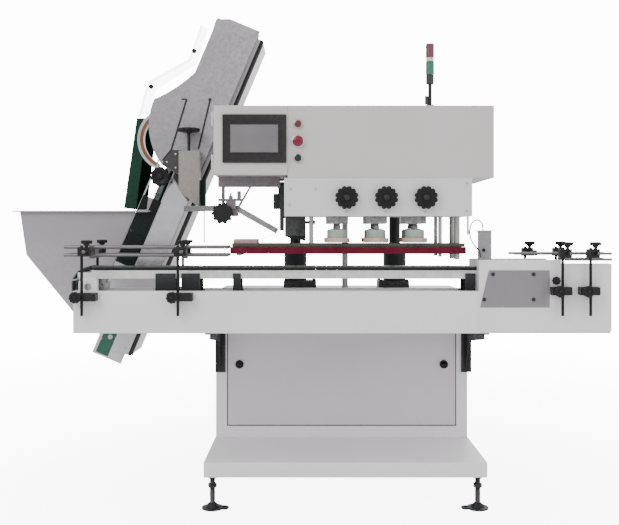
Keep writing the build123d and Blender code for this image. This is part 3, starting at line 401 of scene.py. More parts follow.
def lobed_knob(centre, axis, radius, thick, lobes=10, dish=True):
    """A moulded hand knob with finger lobes, a dished face and a domed rim, axis out of its face."""
    centre, axis = Vector(centre), Vector(axis).normalized()
    side = axis.orthogonal().normalized()
    other = axis.cross(side)
    steps = lobes * 10
    rows = [(0.0, 0), (0.50, 0), (0.92, 0.04), (0.985, 0.16), (1.0, 0.35), (1.0, 0.68), (0.975, 0.86),
            (0.90, 0.97), (0.80, 1.0), (0.62, 0.93), (0.50, 0.84), (0.34, 0.84), (0.30, 0.98), (0.27, 1.04),
            (0.0, 1.06)]
    if not dish:
        rows = rows[:9] + [(0.40, 1.03), (0.0, 1.05)]
    bm = bmesh.new()
    rings = []
    for share, height in rows:
        base = centre + axis * height * thick * MM
        if share == 0:
            rings.append([bm.verts.new(base)])
            continue
        ring = []
        for step in range(steps):
            a = math.tau * step / steps
            wave = abs(math.cos(a * lobes / 2)) ** 0.65
            depth = max(0.0, (share - 0.62) / 0.38)
            reach = radius * share * (1 - 0.16 * depth * (1 - wave)) * MM
            ring.append(bm.verts.new(base + (side * math.cos(a) + other * math.sin(a)) * reach))
        rings.append(ring)
    for low, high in zip(rings, rings[1:]):
        for step in range(steps):
            following = (step + 1) % steps
            corners = list(dict.fromkeys([low[step % len(low)], low[following % len(low)],
                                          high[following % len(high)], high[step % len(high)]]))
            bm.faces.new(corners)
    return crisp(from_bmesh(bm), 50)


def joined(meshes, name="joined"):
    """One mesh out of several, keeping each face's material number."""
    bm = bmesh.new()
    for mesh in meshes:
        bm.from_mesh(mesh)
    mesh = bpy.data.meshes.new(name)
    bm.to_mesh(mesh)
    bm.free()
    return mesh


def marked(mesh, number):
    """The mesh with one material number on all its faces."""
    for face in mesh.polygons:
        face.material_index = number
    return mesh


def block(low, high, width=0.6):
    """A box between two corners with rounded edges."""
    bm = bmesh.new()
    bmesh.ops.create_cube(bm, size=1)
    low, high = Vector(low), Vector(high)
    for v in bm.verts:
        v.co = Vector((low[i] + (v.co[i] + 0.5) * (high[i] - low[i]) for i in range(3)))
    return bevelled(from_bmesh(bm), width * MM, 2)


def screw_heads(places, axis, radius=SCREW_RADIUS):
    """Domed cap screws with a round socket, seated at the given points."""
    profile = [(radius, -0.4), (radius, 1.6), (radius * 0.86, 2.6), (radius * 0.6, 3.0),
               (radius * 0.5, 3.0), (radius * 0.46, 1.4), (0, 1.2)]
    return joined([turned(profile, place, axis, 18) for place in places], "screws")


# ---- camera, floor and lights --------------------------------------------------------------------
# the camera looks level from the front; RISE shifts the picture instead of tilting it
LENS_MM, RISE = 50.95, -0.0493
EYE = (-0.126, -3.466, 0.980)
camera_data = bpy.data.cameras.new("camera")
camera_data.lens = LENS_MM
camera_data.shift_y = RISE
camera = bpy.data.objects.new("camera", camera_data)
camera.location = EYE
camera.rotation_euler = (math.radians(90), 0, 0)
bpy.context.scene.collection.objects.link(camera)
bpy.context.scene.camera = camera

# strength of the floor's glow beside the machine and far from it; the camera sees the backdrop at the
# far strength too, while STUDIO_LIGHT is what the backdrop gives as a light
SWEEP_NEAR, SWEEP_FAR, STUDIO_LIGHT = 7.5, 14.0, 0.98
# distances from the middle of the floor between which the glow rises
SWEEP_START, SWEEP_STOP = 0.8, 4.5
FLOOR_REACH = 14
floor_mesh = bpy.data.meshes.new("floor")
bm = bmesh.new()
bmesh.ops.create_grid(bm, x_segments=2, y_segments=2, size=FLOOR_REACH)
bm.to_mesh(floor_mesh)
bm.free()
floor = bpy.data.objects.new("floor", floor_mesh)
bpy.context.scene.collection.objects.link(floor)
pale = Nodes("floor_pale")
clouds = pale.spread(pale.noise(1.5), 0, 1)
pale.set(color=pale.mix(clouds, (0.86, 0.86, 0.86), (0.90, 0.90, 0.90)), rough=0.8)
# the floor glows gently for the camera, more so away from the machine, as a lit studio sweep does
reach = pale.add("ShaderNodeVectorMath", operation="LENGTH")
pale.link(pale.coords, reach.inputs[0])
sweep = pale.spread(reach.outputs["Value"], SWEEP_NEAR, SWEEP_FAR, SWEEP_START, SWEEP_STOP)
seen = pale.add("ShaderNodeLightPath").outputs["Is Camera Ray"]
pale.set(glow=pale.maths("MULTIPLY", sweep, seen), glow_color=(1, 1, 1))
floor_mesh.materials.append(pale.mat)

world = bpy.data.worlds.new("studio")
world.use_nodes = True
backdrop = world.node_tree.nodes["Background"]
backdrop.inputs["Color"].default_value = (1, 1, 1, 1)
split = world.node_tree.nodes.new("ShaderNodeMapRange")
split.inputs["To Min"].default_value = STUDIO_LIGHT
split.inputs["To Max"].default_value = SWEEP_FAR
rays = world.node_tree.nodes.new("ShaderNodeLightPath")
world.node_tree.links.new(rays.outputs["Is Camera Ray"], split.inputs["Value"])
world.node_tree.links.new(split.outputs["Result"], backdrop.inputs["Strength"])
bpy.context.scene.world = world


def softbox(name, place, target, size, power):
    """A rectangular area light of a size in metres and a power in watts, turned to its target."""
    light = bpy.data.lights.new(name, "AREA")
    light.shape = "RECTANGLE"
    light.size, light.size_y = size
    light.energy = power
    lamp = bpy.data.objects.new(name, light)
    lamp.location = place
    lamp.rotation_euler = (Vector(target) - Vector(place)).to_track_quat("-Z", "Y").to_euler()
    bpy.context.scene.collection.objects.link(lamp)


softbox("key", (-2.6, -3.4, 3.6), (0, 0, 0.9), (2.2, 2.2), 80)
softbox("fill", (3.2, -3.0, 1.8), (0, 0, 0.8), (2.0, 2.4), 30)
softbox("top", (0, 0.6, 4.2), (0, 0, 0.9), (3.0, 3.0), 52)
softbox("back", (1.5, 4.0, 2.6), (0, 0, 0.9), (2.4, 2.0), 46)


# ---- parts of the machine ------------------------------------------------------------------------
def corners_of(node):
    """The low and the high corner of a CAD node."""
    return [Vector(corner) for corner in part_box(node)]


def middle(node):
    low, high = corners_of(node)
    return (low + high) / 2


def solids_of(node):
    """The separate solids of a CAD node, each as its low corner, high corner and points."""
    bm = welded(node)
    left, found = set(bm.verts), []
    while left:
        stack, group = [left.pop()], []
        while stack:
            vert = stack.pop()
            group.append(vert.co.copy())
            for edge in vert.link_edges:
                other = edge.other_vert(vert)
                if other in left:
                    left.remove(other)
                    stack.append(other)
        low = Vector([min(p[i] for p in group) for i in range(3)])
        high = Vector([max(p[i] for p in group) for i in range(3)])
        found.append((low, high, group))
    bm.free()
    return sorted(found, key=lambda solid: tuple(solid[0]))


def stem(foot, axis, radius, length):
    return turned([(radius, 0), (radius, length - 0.4), (radius - 0.4, length)], foot, axis, 24)


GEAR_FACE = -0.420


def gap_knobs():
    """The three knobs on the gear case that set the wheels' gap."""
    thick = 18
    for number in (1, 2, 3):
        node = f"gap_knob_{number}"
        low, high = corners_of(node)
        centre = (low + high) / 2
        face = Vector((centre.x, low.y + thick * MM, centre.z))
        radius = (high.x - low.x) / 2 / MM
        gap = (GEAR_FACE - face.y) / MM
        collar = [(20, 0), (20, gap - 1.5), (17, gap + 0.5)]
        collar_seat = (centre.x, GEAR_FACE - 0.1 * MM, centre.z)
        screw = [(7, 0), (7, 2.5), (5.5, 3.4), (3.2, 3.4), (3, 1.5), (0, 1.3)]
        screw_seat = (centre.x, low.y + 1 * MM, centre.z)
        rod = stem((centre.x, high.y, centre.z), -Y, 6, (high.y - face.y) / MM)
        parts = [marked(lobed_knob(face, -Y, radius, thick, 12), 0),
                 marked(turned(collar, collar_seat, -Y, 36), 0),
                 marked(rod, 1),
                 marked(turned(screw, screw_seat, -Y, 18), 2)]
        paints = ["knob_black", "zinc", "dark_metal"]
        add_piece(node + "_moulded", joined(parts), paints, BODY_OF[node], (node,))


THUMB_SCREW_WIDTH = 25 * MM
LARGE_KNOB = 30


def thumb_screw(low, high):
    mid = (low + high) / 2
    head = [(6.5, 0), (9, 1), (9, 8.5), (8, 10), (5, 10), (4.6, 9), (0, 9)]
    return [marked(turned(head, (mid.x, high.y - 2 * MM, mid.z), -Y, 14), 0),
            marked(stem((mid.x, high.y, mid.z), -Y, 4, 3), 1)]


def upright_knob(low, high):
    """A knob that faces up, on a moulded neck."""
    size, mid = high - low, (low + high) / 2
    radius = size.x / 2 / MM
    thick = 14 if radius > LARGE_KNOB else 12
    neck, flare = 6, 6
    collar = [(neck + 3, 0), (neck + 5, 5), (neck + 5, flare)]
    seat = (mid.x, mid.y, high.z - (thick + flare) * MM)
    return [marked(lobed_knob((mid.x, mid.y, high.z - thick * MM), Z, radius, thick, 8, False), 0),
            marked(stem((mid.x, mid.y, low.z), Z, neck, size.z / MM - thick), 0),
            marked(turned(collar, seat, Z, 24), 0)]


def level_knob(low, high, points):
    """A knob that faces the front or the back, whichever end of it is the wide one."""
    size, mid = high - low, (low + high) / 2
    radius = size.x / 2 / MM
    faces_front = any(p.y < low.y + 1 * MM and abs(p.x - mid.x) > 0.7 * size.x / 2 for p in points)
    way, tip, far = (-Y, low.y, high.y) if faces_front else (Y, high.y, low.y)
    thick, rod = (18, 8) if radius > LARGE_KNOB else (12, 5)
    face = Vector((mid.x, tip, mid.z)) - way * thick * MM
    return [marked(lobed_knob(face, way, radius, thick, 10), 0),
            marked(stem((mid.x, far, mid.z), way, rod, abs(face.y - far) / MM), 1)]


def hand_knobs():
    """Clamp knobs of the rail stands, the sorter, the drop box and the clear guard."""
    parts = []
    for low, high, points in solids_of("clamp_knobs"):
        size = high - low
        if size.x < THUMB_SCREW_WIDTH:
            parts += thumb_screw(low, high)
        elif abs(size.x - size.y) < 2 * MM:
            parts += upright_knob(low, high)
        else:
            parts += level_knob(low, high, points)
    add_piece("clamp_knobs_moulded", joined(parts), ["knob_black", "zinc"], "base",
              ("clamp_knobs",))


def capping_wheels():
    """Rubber-tyred wheels on pale hubs and steel spindles."""
    for number in (1, 2, 3):
        for end in ("front", "rear"):
            node = f"capping_wheel_{number}_{end}"
            low, high = corners_of(node)
            foot = Vector(((low.x + high.x) / 2, (low.y + high.y) / 2, low.z))
            tyre = [(30, 0.6), (42.5, 0), (44.4, 1)]
            ribs, rib_pitch = 5, 2.6
            for rib in range(ribs):
                up = rib * rib_pitch
                tyre += [(45, 2 + up), (45, 3.5 + up), (44.4, 3.9 + up)]
            tyre += [(44.4, 15.2), (43, 16), (30, 16)]
            hub_top, screw_circle, screws = 46, 24, 4
            hub = [(8, 15.5), (35, 15.5), (35.5, 17), (34, 19), (34, 40), (33, 43.5), (30, 45.6),
                   (27, hub_top), (18, hub_top), (17, 44.5), (12, 44.5)]
            neck = [(12, 44), (12, 60), (10.5, 61), (10.5, 65.9), (8, 65.9)]
            spindle = [(0, 0), (8, 0), (8, (high.z - low.z) / MM)]
            web = [(8, 1.2), (30.5, 1.2), (30.5, 15)]
            parts = [marked(turned(tyre, foot, Z, 72), 0), marked(turned(hub, foot, Z, 60), 1),
                     marked(turned(web, foot, Z, 48), 1), marked(turned(spindle, foot, Z, 30), 2),
                     marked(turned(neck, foot, Z, 36), 3)]
            for turn in range(screws):
                a = math.tau * (turn + 0.5) / screws
                spot = Vector((math.cos(a) * screw_circle, math.sin(a) * screw_circle, hub_top)) * MM
                parts.append(marked(screw_heads([foot + spot], Z, 3.4), 2))
            paints = ["wheel_rubber", "wheel_hub", "zinc", "carriage_steel"]
            add_piece(node + "_turned", joined(parts), paints, BODY_OF[node], (node,))


def signal_tower():
    """Stacked lamp: base, pole, holder, two ribbed lenses and a cap."""
    low, high = corners_of("signal_tower")
    foot = Vector((0.301, -0.360, low.z))
    tall = (high.z - low.z) / MM

    def ribbed(radius, z0, z1):
        """The outline of a lens with ribs about 3 mm apart."""
        rows = [(radius - 1, z0)]
        count = int((z1 - z0) / 3)
        for row in range(count):
            z = z0 + 1 + row * (z1 - z0 - 2) / count
            rows += [(radius - 0.5, z), (radius, z + 1), (radius, z + 1.9)]
        return rows + [(radius - 1, z1)]

    base = [(21, 0), (21, 3), (20, 5), (17, 8), (12, 11), (8, 12), (6.5, 12)]
    pole = [(6.5, 11), (6.5, 86)]
    holder = [(7, 83), (13.5, 84), (14, 86), (14, 115), (13, 116), (13, 117.5)]
    cap = [(13.6, 223), (14.6, 224), (14.6, 225), (12, 227), (8, tall - 0.4), (0, tall)]
    ring = [(13.5, 160.5), (14.4, 161), (14.4, 163), (13.5, 163.5)]
    green, clear, red = ribbed(15, 117, 161), ribbed(13.5, 163, 178), ribbed(15, 178, 223.5)
    bracket = block((0.283, -0.364, low.z + 12 * MM), (0.2945, -0.356, low.z + 42 * MM))
    parts = [marked(turned(base, foot, Z, 48), 0), marked(turned(pole, foot, Z, 30), 1),
             marked(turned(holder, foot, Z, 40), 0), marked(turned(green, foot, Z, 48), 2),
             marked(turned(ring, foot, Z, 40), 0), marked(turned(clear, foot, Z, 48), 3),
             marked(turned(red, foot, Z, 48), 4), marked(turned(cap, foot, Z, 40), 4),
             marked(bracket, 0)]
    add_piece("signal_tower_lamps", joined(parts),
              ["tower_black", "knob_black", "lens_green", "lens_clear", "lens_red"], "head",
              ("signal_tower",))


def push_buttons():
    """Emergency stop, stop and start buttons in bright bezel rings."""
    mushroom = [(8, 0), (12, 1.5), (13, 4), (17.5, 6), (19, 8), (19, 10.5), (17.5, 13), (13, 15),
                (7, 16), (0, 16.2)]
    flat_cap = [(10, 0), (12, 0.5), (12, 5), (11, 6), (8, 6.6), (0, 6.8)]
    rows = {"emergency_stop_button": ("stop_red", mushroom),
            "stop_button": ("lamp_dark_red", flat_cap),
            "start_button": ("start_green", flat_cap)}
    panel_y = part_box("head_casing")[0][1]
    for node, (paint, profile) in rows.items():
        low, high = corners_of(node)
        mid = (low + high) / 2
        seat = low.y + profile[-1][1] * MM
        parts = [marked(turned(profile, (mid.x, seat, mid.z), -Y, 48), 0),
                 marked(stem((mid.x, high.y, mid.z), -Y, 8, (high.y - seat) / MM), 1)]
        add_piece(node + "_moulded", joined(parts), [paint, "knob_black"], BODY_OF[node],
                  (node,))
        wide = (high.x - low.x) / 2 / MM
        inner = 9 if wide > 15 else wide + 0.6
        ring = [(inner, 0), (wide + 3.5, 0), (wide + 3.2, 1.6), (wide + 2, 2.4), (inner + 0.8, 2.6),
                (inner, 2)]
        add_piece(node + "_bezel", turned(ring, (mid.x, panel_y, mid.z), -Y, 48), "zinc", "head")


def operator_panel():
    """Operator panel: soft-edged bezel, a raised lip round the screen and the dark glass itself."""
    skin("hmi_panel", width=1.6, segments=3)
    front = corners_of("hmi_panel")[0].y
    lo = Vector((-0.401, front + 1.2 * MM, 1.256))
    hi = Vector((-0.235, front + 2.2 * MM, 1.353))
    add_piece("hmi_screen", block(lo, hi, 0.25), "screen", BODY_OF["hmi_panel"])
    rim, wide = [], 2 * MM
    for x0, x1, z0, z1 in ((lo.x, hi.x, hi.z, hi.z + wide), (lo.x, hi.x, lo.z - wide, lo.z),
                           (lo.x - wide, lo.x, lo.z - wide, hi.z + wide),
                           (hi.x, hi.x + wide, lo.z - wide, hi.z + wide)):
        rim.append(block((x0, front - 1 * MM, z0), (x1, front + 0.4 * MM, z1), 0.4))
    add_piece("hmi_screen_lip", joined(rim), "hmi_black", BODY_OF["hmi_panel"])


def levelling_feet():
    """Foot pads and nuts, with thread rings on the bare lengths of each rod."""
    skin("levelling_feet", width=0.9)
    root, crest, pitch = 8.8, 9.7, 2
    bare_lengths = ((21, 75), (91, 107))
    threads = []
    for x in (-0.470, 0.470):
        for y in (-0.360, 0.360):
            for z0, z1 in bare_lengths:
                rows = []
                for turn in range(int((z1 - z0) / pitch)):
                    rows += [(root, z0 + turn * pitch), (crest, z0 + turn * pitch + 1)]
                threads.append(turned(rows + [(root, z1)], (x, y, 0), Z, 28))
    add_piece("foot_threads", joined(threads), "rail_steel", "base")


# the elevator's right edge: where it starts, how far it leans, and the ways up and across it
LEAN = math.radians(22.9)
EDGE = Vector((-0.838, 0, 0.489))
UP_LEAN = Vector((math.sin(LEAN), 0, math.cos(LEAN)))
ACROSS = Vector((-math.cos(LEAN), 0, math.sin(LEAN)))
# depths of the elevator's front and back sheets, and of the sorter's own face, in mm
SHEET_FRONT, SHEET_BACK, SORTER_FACE = 5, 245, -33


def across(point):
    """How far a point is from the elevator's right edge, in mm."""
    return (Vector(point) - EDGE).dot(ACROSS) / MM


def along(point):
    """How far up the elevator's right edge a point is, in mm."""
    return (Vector(point) - EDGE).dot(UP_LEAN) / MM


def on_elevator(u, v):
    """The point u mm up the elevator's right edge and v mm across from it."""
    return EDGE + UP_LEAN * u * MM + ACROSS * v * MM


def uv_box(u0, u1, v0, v1, y0, y1):
    """A box that leans with the elevator: u up its edge, v across it, y front to back, all in mm."""
    bm = bmesh.new()
    rows = []
    for y in (y0, y1):
        row = []
        for u, v in ((u0, v0), (u1, v0), (u1, v1), (u0, v1)):
            spot = on_elevator(u, v)
            row.append(bm.verts.new((spot.x, y * MM, spot.z)))
        rows.append(row)
    bm.faces.new(rows[0])
    bm.faces.new(rows[1][::-1])
    for i in range(4):
        j = (i + 1) % 4
        bm.faces.new((rows[0][j], rows[0][i], rows[1][i], rows[1][j]))
    return bevelled(from_bmesh(bm), 0.4 * MM, 2)


def elevator():
    """Leaning cap elevator: brushed sides, a dark edge channel whose darkness is partly painted shade of
    the elevator's side, cleated belt, bright cover panel.
    """
    brushed_side, channel_and_painted_shade, bright_cover, pale_side = range(4)
    channel_width = 20.5

    def sides(centre):
        v = across(centre)
        if v < 0.5 or (v < channel_width and centre.y > 20 * MM):
            return pale_side
        # the edge channel's front faces are dark: partly the channel's own dark colour, partly painted
        # shade of the elevator's side
        if v < channel_width:
            return channel_and_painted_shade
        return bright_cover if centre.y < 4.9 * MM else brushed_side

    paints = ["elevator_sheet", "dark_metal", "polished_steel", "beam_paint"]
    skin("elevator_plates", paints, 0.9, repaint=sides)
    skin("elevator_belt", "belt_green", 1.2)
    for node in ("elevator_tail_roller", "elevator_head_roller"):
        skin(node, "machined_steel", 0.8)
    # a matt black strip down the elevator's right side: partly a dark edge profile, partly painted shade of
    # that side
    add_piece("elevator_edge_and_painted_shade", uv_box(0, 1355, -0.9, 9, 4.1, 60), "edge_black_and_painted_shade", "base")
    add_piece("elevator_tail_window", uv_box(-36, 118, 80, 131, 3.6, 5), "belt_green", "base")
    take_up = [marked(uv_box(1268, 1284, 150, 176, -9, SHEET_FRONT), 0)]
    foot = on_elevator(1222, 163)
    foot.y = -2 * MM
    take_up.append(marked(turned([(4, 0), (4, 84), (3, 86)], foot, UP_LEAN, 18), 1))
    nut_radius, nut_height = 8, 7
    for lift in (42, 64):
        nut = [(nut_radius, lift), (nut_radius, lift + nut_height)]
        take_up.append(marked(turned(nut, foot, UP_LEAN, 6), 1))
    add_piece("belt_take_up", joined(take_up), ["dark_metal", "zinc"], "base")
    screws = []
    near, far, far_at_foot, narrow_below = 30, 188, 130, 80
    for u in (20, 240, 460, 700, 950, 1180, 1350):
        for v in (near, far if u > narrow_below else far_at_foot):
            spot = on_elevator(u, v)
            screws.append(Vector((spot.x, SHEET_FRONT * MM, spot.z)))
    # the bright cover panel stands in front of the sheet here and hides its screws
    cover_foot, cover_top, cover_right, cover_left = 330, 715, 20, 120
    seen = [s for s in screws
            if not (cover_foot <= along(s) <= cover_top and cover_right < across(s) < cover_left)]
    add_piece("elevator_screws", screw_heads(seen, -Y), "zinc", "base")
    back = [Vector((s.x, SHEET_BACK * MM, s.z)) for s in screws]
    add_piece("elevator_back_screws", screw_heads(back, Y), "zinc", "base")


def sorter():
    """Sorting plate on the elevator with its cap track, clear guard and drop box."""
    skin("sorter_plate", "sorter_sheet", 0.8)
    box_side, ring_steel, dark_wall, green_mouth, channel_steel = range(5)

    def track(centre):
        if centre.y > -31 * MM and centre.x < -0.70:
            return ring_steel
        if centre.z > 1.2935 and centre.x > -0.68:
            return dark_wall
        if centre.y < -95 * MM:
            return channel_steel
        if centre.x > -0.5508 and centre.z < 1.19 and -64 * MM < centre.y < -49 * MM:
            return green_mouth if centre.z > 1.0715 else dark_wall
        return box_side

    paints = ["box_beige", "polished_steel", "dark_metal", "chute_green", "chute_steel"]
    skin("cap_track", paints, 0.7, repaint=track)
    ring, start, stop = Vector((-0.6756, 0, 1.3425)), 117, 243
    liner = arc_band(ring, 102.5, 112, -31.4, -30, start, stop)
    add_piece("ring_liner", liner, "copper_band", "base")
    rim = arc_band(ring, 112.6, 115, -31.2, -30, start, stop)
    add_piece("ring_edge", rim, "dark_metal", "base")
    strip_front = SORTER_FACE - 3
    stud = [(6, 0), (6, 3), (4, 4), (0, 4)]
    strips = [leaning_bar((-0.627, 1.503), (-0.627, 1.498), 20, strip_front, SORTER_FACE),
              turned(stud, (-0.516, SORTER_FACE * MM, 1.499), -Y, 20)]
    for top, foot in (((-0.611, 1.498), (-0.671, 1.301)), ((-0.519, 1.496), (-0.564, 1.306))):
        strips.append(leaning_bar(top, foot, 6, strip_front, SORTER_FACE))
    add_piece("track_strips", joined(strips), "knob_black", "base")
    sheet = 1.4
    # the next corners outline a dark sheet on the sorter's lower part: painted shade between the sorter
    # plate and the drop box
    tip = [(-0.668, 1.301), (-0.6285, 1.301), (-0.6285, 1.213), (-0.641, 1.2065), (-0.702, 1.2445),
           (-0.698, 1.262)]
    painted_shade_plate = flat_plate(tip, SORTER_FACE - sheet, SORTER_FACE, 0.3)
    add_piece("sorter_painted_shade", painted_shade_plate, "painted_shade_grey", "base")
    petal = leaning_bar((-0.672, 1.301), (-0.705, 1.260), 5, strip_front, SORTER_FACE)
    add_piece("sorter_petal_edge", petal, "knob_black", "base")
    bolt_places = ((-0.650, 1.285), (-0.650, 1.232), (-0.684, 1.254))
    bolts = [Vector((x, (SORTER_FACE - sheet) * MM, z)) for x, z in bolt_places]
    add_piece("sorter_bolts", screw_heads(bolts, -Y), "zinc", "base")
    # a dark sheet on the elevator's front under the drop box: a painted shadow cast by the box
    shade = [on_elevator(u, v) for u, v in ((654, 24), (719, 118), (830, 118), (830, 24))]
    painted_shadow_sheet = flat_plate([(p.x, p.z) for p in shade], SHEET_FRONT - sheet, SHEET_FRONT, 0.3)
    add_piece("elevator_painted_shadow", painted_shadow_sheet, "painted_shade_grey", "base")
    skin("return_chute", "chute_green", 0.8)
    window_top = 1.2
    skin("guards", ["clear_acrylic", "smoked_acrylic"], 0.5, 1,
         repaint=lambda centre: 1 if centre.z < window_top else 0)


def flat_plate(corners, y0, y1, width=0.6):
    """A flat plate with its corners in the X-Z plane, from y0 back to y1 in mm, with rounded edges."""
    bm = bmesh.new()
    front = [bm.verts.new((x, y0 * MM, z)) for x, z in corners]
    back = [bm.verts.new((x, y1 * MM, z)) for x, z in corners]
    bm.faces.new(front)
    bm.faces.new(back[::-1])
    for i in range(len(corners)):
        j = (i + 1) % len(corners)
        bm.faces.new((front[j], front[i], back[i], back[j]))
    return bevelled(from_bmesh(bm), width * MM)


def leaning_bar(top, foot, wide, y0, y1):
    """A flat bar between two points of the X-Z plane."""
    corners = [(x + reach * MM, z) for (x, z), reach in ((top, 0), (top, wide), (foot, wide), (foot, 0))]
    return flat_plate(corners, y0, y1)


def arc_band(centre, r0, r1, y0, y1, start, stop):
    """A curved flat band in the X-Z plane; radii and depths in mm, angles in degrees from +X."""
    steps = 48
    bm = bmesh.new()
    rows = []
    for step in range(steps + 1):
        a = math.radians(start + (stop - start) * step / steps)
        row = []
        for radius, y in ((r0, y0), (r1, y0), (r1, y1), (r0, y1)):
            spot = (centre.x + radius * MM * math.cos(a), y * MM, centre.z + radius * MM * math.sin(a))
            row.append(bm.verts.new(spot))
        rows.append(row)
    for low, high in zip(rows, rows[1:]):
        for i in range(4):
            bm.faces.new((low[i], low[(i + 1) % 4], high[(i + 1) % 4], high[i]))
    bm.faces.new(rows[0])
    bm.faces.new(rows[-1])
    return bevelled(from_bmesh(bm), 0.3 * MM, 1)


def gripper():
    """Side gripper: ribbed red belts, olive top plates, steel posts, pink blocks, pale backing bars."""
    olive_plate, steel_post, pale_bar, pink_block = range(4)
    plate_foot, plate_top, first_post = 0.9275, 0.9402, -0.13

    def frame_paint(centre):
        if centre.z > plate_top:
            return steel_post if centre.x > first_post else pink_block
        return olive_plate if centre.z > plate_foot else pale_bar

    paints = ["belt_guard", "machined_steel", "wheel_hub", "block_pink"]
    skin("gripper_frame", paints, 0.7, repaint=frame_paint)
    skin("gripper_belts", "belt_red")
    for end in ("front", "rear"):
        skin(f"gripper_drive_{end}", "machined_steel", 0.7)


def head():
    """Casing, gear case and what hangs from them."""
    skin("head_casing", "panel_paint", 1.5, 3)
    skin("control_door", "panel_paint", 1.2, 3)
    skin("gear_case", "gear_paint", 0.5, 2)
    skin("head_posts", "dark_metal", 1.0)
    skin("cap_placer", "placer_grey", 0.9)
    hanger, channel, knob = range(3)
    hanger_foot, knob_back, channel_half = 1.10, -0.3412, 27.5 * MM

    def chute_paint(centre):
        if centre.z >= hanger_foot:
            return hanger
        if centre.y < knob_back:
            return knob
        return channel if abs(centre.y - LANE_Y) < channel_half else hanger

    skin("cap_chute", ["hanger_grey", "chute_steel", "knob_black"], 0.7, repaint=chute_paint)
    adjuster_screw = [(7, 0), (8, 1), (8, 9), (7, 10), (3.5, 10), (3.5, 20), (3, 21), (0, 21)]
    adjuster = [block((-0.424, -0.349, 1.062), (-0.388, -0.3335, 1.090), 0.8),
                block((-0.452, -0.346, 1.090), (-0.368, -0.335, 1.099), 0.8),
                block((-0.384, -0.346, 1.099), (-0.370, -0.336, 1.126), 0.8),
                turned(adjuster_screw, (-0.407, -0.3405, 1.099), Z, 18)]
    add_piece("chute_adjuster", joined(adjuster), "hanger_grey", "head")
    for number in (1, 2, 3):
        skin(f"wheel_carriage_{number}", "carriage_steel", 0.9)
    lever = [leaning_bar((-0.236, 0.978), (-0.304, 0.955), 4, -316, -294),
             block((-0.140, -0.312, 1.010), (-0.116, -0.300, 1.020)),
             turned([(5, 0), (7, 2), (7, 10), (5, 12)], (-0.117, -0.306, 1.015), X, 20)]
    add_piece("placer_levers", joined(lever), "knob_black", "head")
    push_buttons()
    operator_panel()
    signal_tower()
    face = corners_of("gear_case")[0].y
    places = [(0.422, 1.149), (0.420, 1.054), (-0.192, 1.13), (-0.105, 1.13), (-0.196, 1.074)]
    places += [(middle(f"gap_knob_{number}").x, 1.049) for number in (1, 2, 3)]
    spots = [Vector((x, face, z)) for x, z in places]
    add_piece("gear_case_screws", screw_heads(spots, -Y), "zinc", "head")


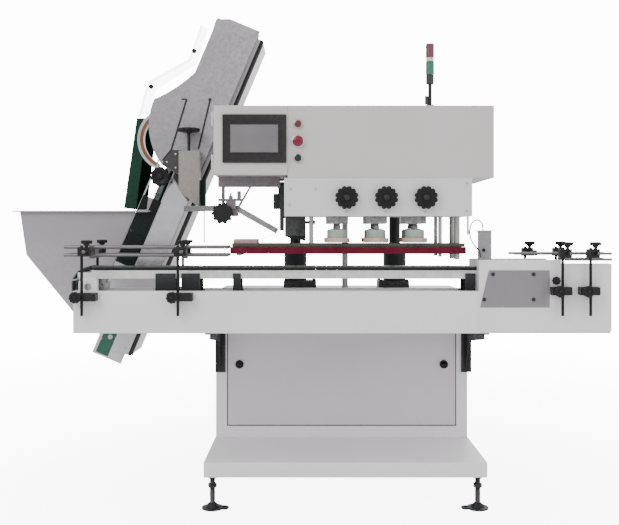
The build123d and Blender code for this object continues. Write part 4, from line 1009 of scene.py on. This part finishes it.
def base():
    """Tray, cabinet, conveyor and everything that stands on them."""
    skin("base_tray", "beam_paint", 1.2, 3)
    skin("cabinet_shell", "beam_paint", 1.2, 3)
    skin("cabinet_door", "door_paint", 1.0, 3)
    low, high = corners_of("cabinet_door")
    front, back = low.y + 1 * MM, low.y + 3 * MM
    gap, wide = 0.6 * MM, 3.2 * MM
    # a thin black frame round the door: a painted shadow line where the door stands proud of the cabinet
    # front
    painted_door_shadow = []
    for z in (low.z - gap - wide, high.z + gap):
        painted_door_shadow.append(block((low.x - gap - wide, front, z), (high.x + gap + wide, back, z + wide), 0.5))
    for x in (low.x - gap - wide, high.x + gap):
        painted_door_shadow.append(block((x, front, low.z - gap), (x + wide, back, high.z + gap), 0.5))
    add_piece("cabinet_door_painted_shadow", joined(painted_door_shadow), "knob_black", "base")
    for side in ("left", "right"):
        skin(f"door_lock_{side}", "knob_black", 0.8, 3)
    strip_foot = 0.8138
    skin("conveyor_frame", ["beam_paint", "bed_strip"], 1.0, 3,
         repaint=lambda centre: 1 if centre.z > strip_foot else 0)
    skin("support_brackets", "dark_metal", 0.8)
    skin("slat_chain", "chain_plastic", 0.6)
    low, high = corners_of("slat_chain")
    reach = (high.z - low.z) / 2 - 10 * MM
    axle = (low.z + high.z) / 2
    links, pitch, first = 46, 38.1 * MM, middle("tail_sprocket").x
    length = 40
    pin = [(3, 0), (4.4, 0.8), (4.4, length - 0.8), (3, length)]
    pins = []
    for joint in range(links + 1):
        for side in (-1, 1):
            spot = (first + joint * pitch, LANE_Y - length / 2 * MM, axle + side * reach)
            pins.append(turned(pin, spot, Y, 12))
    add_piece("chain_pins", joined(pins), "chain_plastic", "base")
    for node in ("drive_sprocket", "tail_sprocket"):
        skin(node, "machined_steel", 0.6)
    skin("drive_cover", "beam_paint", 0.9, 3)
    screw_head = 3.4 * MM
    plate_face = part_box("inspection_plate")[0][1] + screw_head
    skin("inspection_plate", ["plate_grey", "dark_metal"], 0.8,
         repaint=lambda centre: 1 if centre.y < plate_face else 0)
    cover_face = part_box("drive_cover")[0][1]
    latch_x, latch_z = 0.731, 0.811
    latch = [stem((latch_x, cover_face, latch_z), -Y, 5, 18),
             lobed_knob((latch_x, cover_face - 17 * MM, latch_z), -Y, 15, 12, 8, False)]
    add_piece("cover_latch_knob", joined(latch), "knob_black", "base")
    skin("sensor_post", "plate_grey", 0.6)
    eye = [(6, 0), (6, 2), (4.5, 2.6), (4, 1), (0, 1)]
    eye_seat = (0.488, corners_of("sensor_post")[0].y + 18 * MM, 0.916)
    add_piece("sensor_eye", turned(eye, eye_seat, -Y, 24), "knob_black", "base")
    cap = block((0.463, -0.375, 0.983), (0.524, -0.367, 0.986), 0.4)
    add_piece("sensor_flange", cap, "machined_steel", "base")
    for lane in ("infeed", "outfeed"):
        for side in ("front", "rear"):
            skin(f"guide_rail_{lane}_{side}", "rail_steel", 0.8)
    skin("rail_stands", "knob_black", 0.9)
    skin("column_sleeves", "dark_metal", 1.0)
    skin("lift_screw", "machined_steel", 0.5)
    skin("hopper", "hopper_sheet", 0.7)
    skin("gearmotors", "motor_grey", 1.6, 3)


# the lead's path from the sensor to the gland, in mm
LEAD_ROUTE = [(489, -359, 985), (489, -359, 1005), (477, -363, 1022), (456, -368, 1022),
              (442, -374, 1004), (437, -380, 977), (442, -386, 951), (456, -389, 929),
              (474, -390, 911), (474, -390, 890)]


def sensor_lead():
    """The lead that loops from the sensor down into the drive cover's gland."""
    line = bpy.data.curves.new("sensor_lead", "CURVE")
    line.dimensions = "3D"
    line.bevel_depth = 2.5 * MM
    line.bevel_resolution = 5
    line.use_fill_caps = True
    spline = line.splines.new("NURBS")
    spline.points.add(len(LEAD_ROUTE) - 1)
    for point, place in zip(spline.points, LEAD_ROUTE):
        point.co = (*(c * MM for c in place), 1)
    spline.order_u = 3
    spline.use_endpoint_u = True
    spline.resolution_u = 10
    line.materials.append(MAT["cable_black"])
    lead = bpy.data.objects.new("sensor_lead", line)
    bpy.context.scene.collection.objects.link(lead)
    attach(lead, "base")
    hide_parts("sensor_cable")


sensor_lead()
base()
levelling_feet()
elevator()
sorter()
gripper()
head()
gap_knobs()
hand_knobs()
capping_wheels()
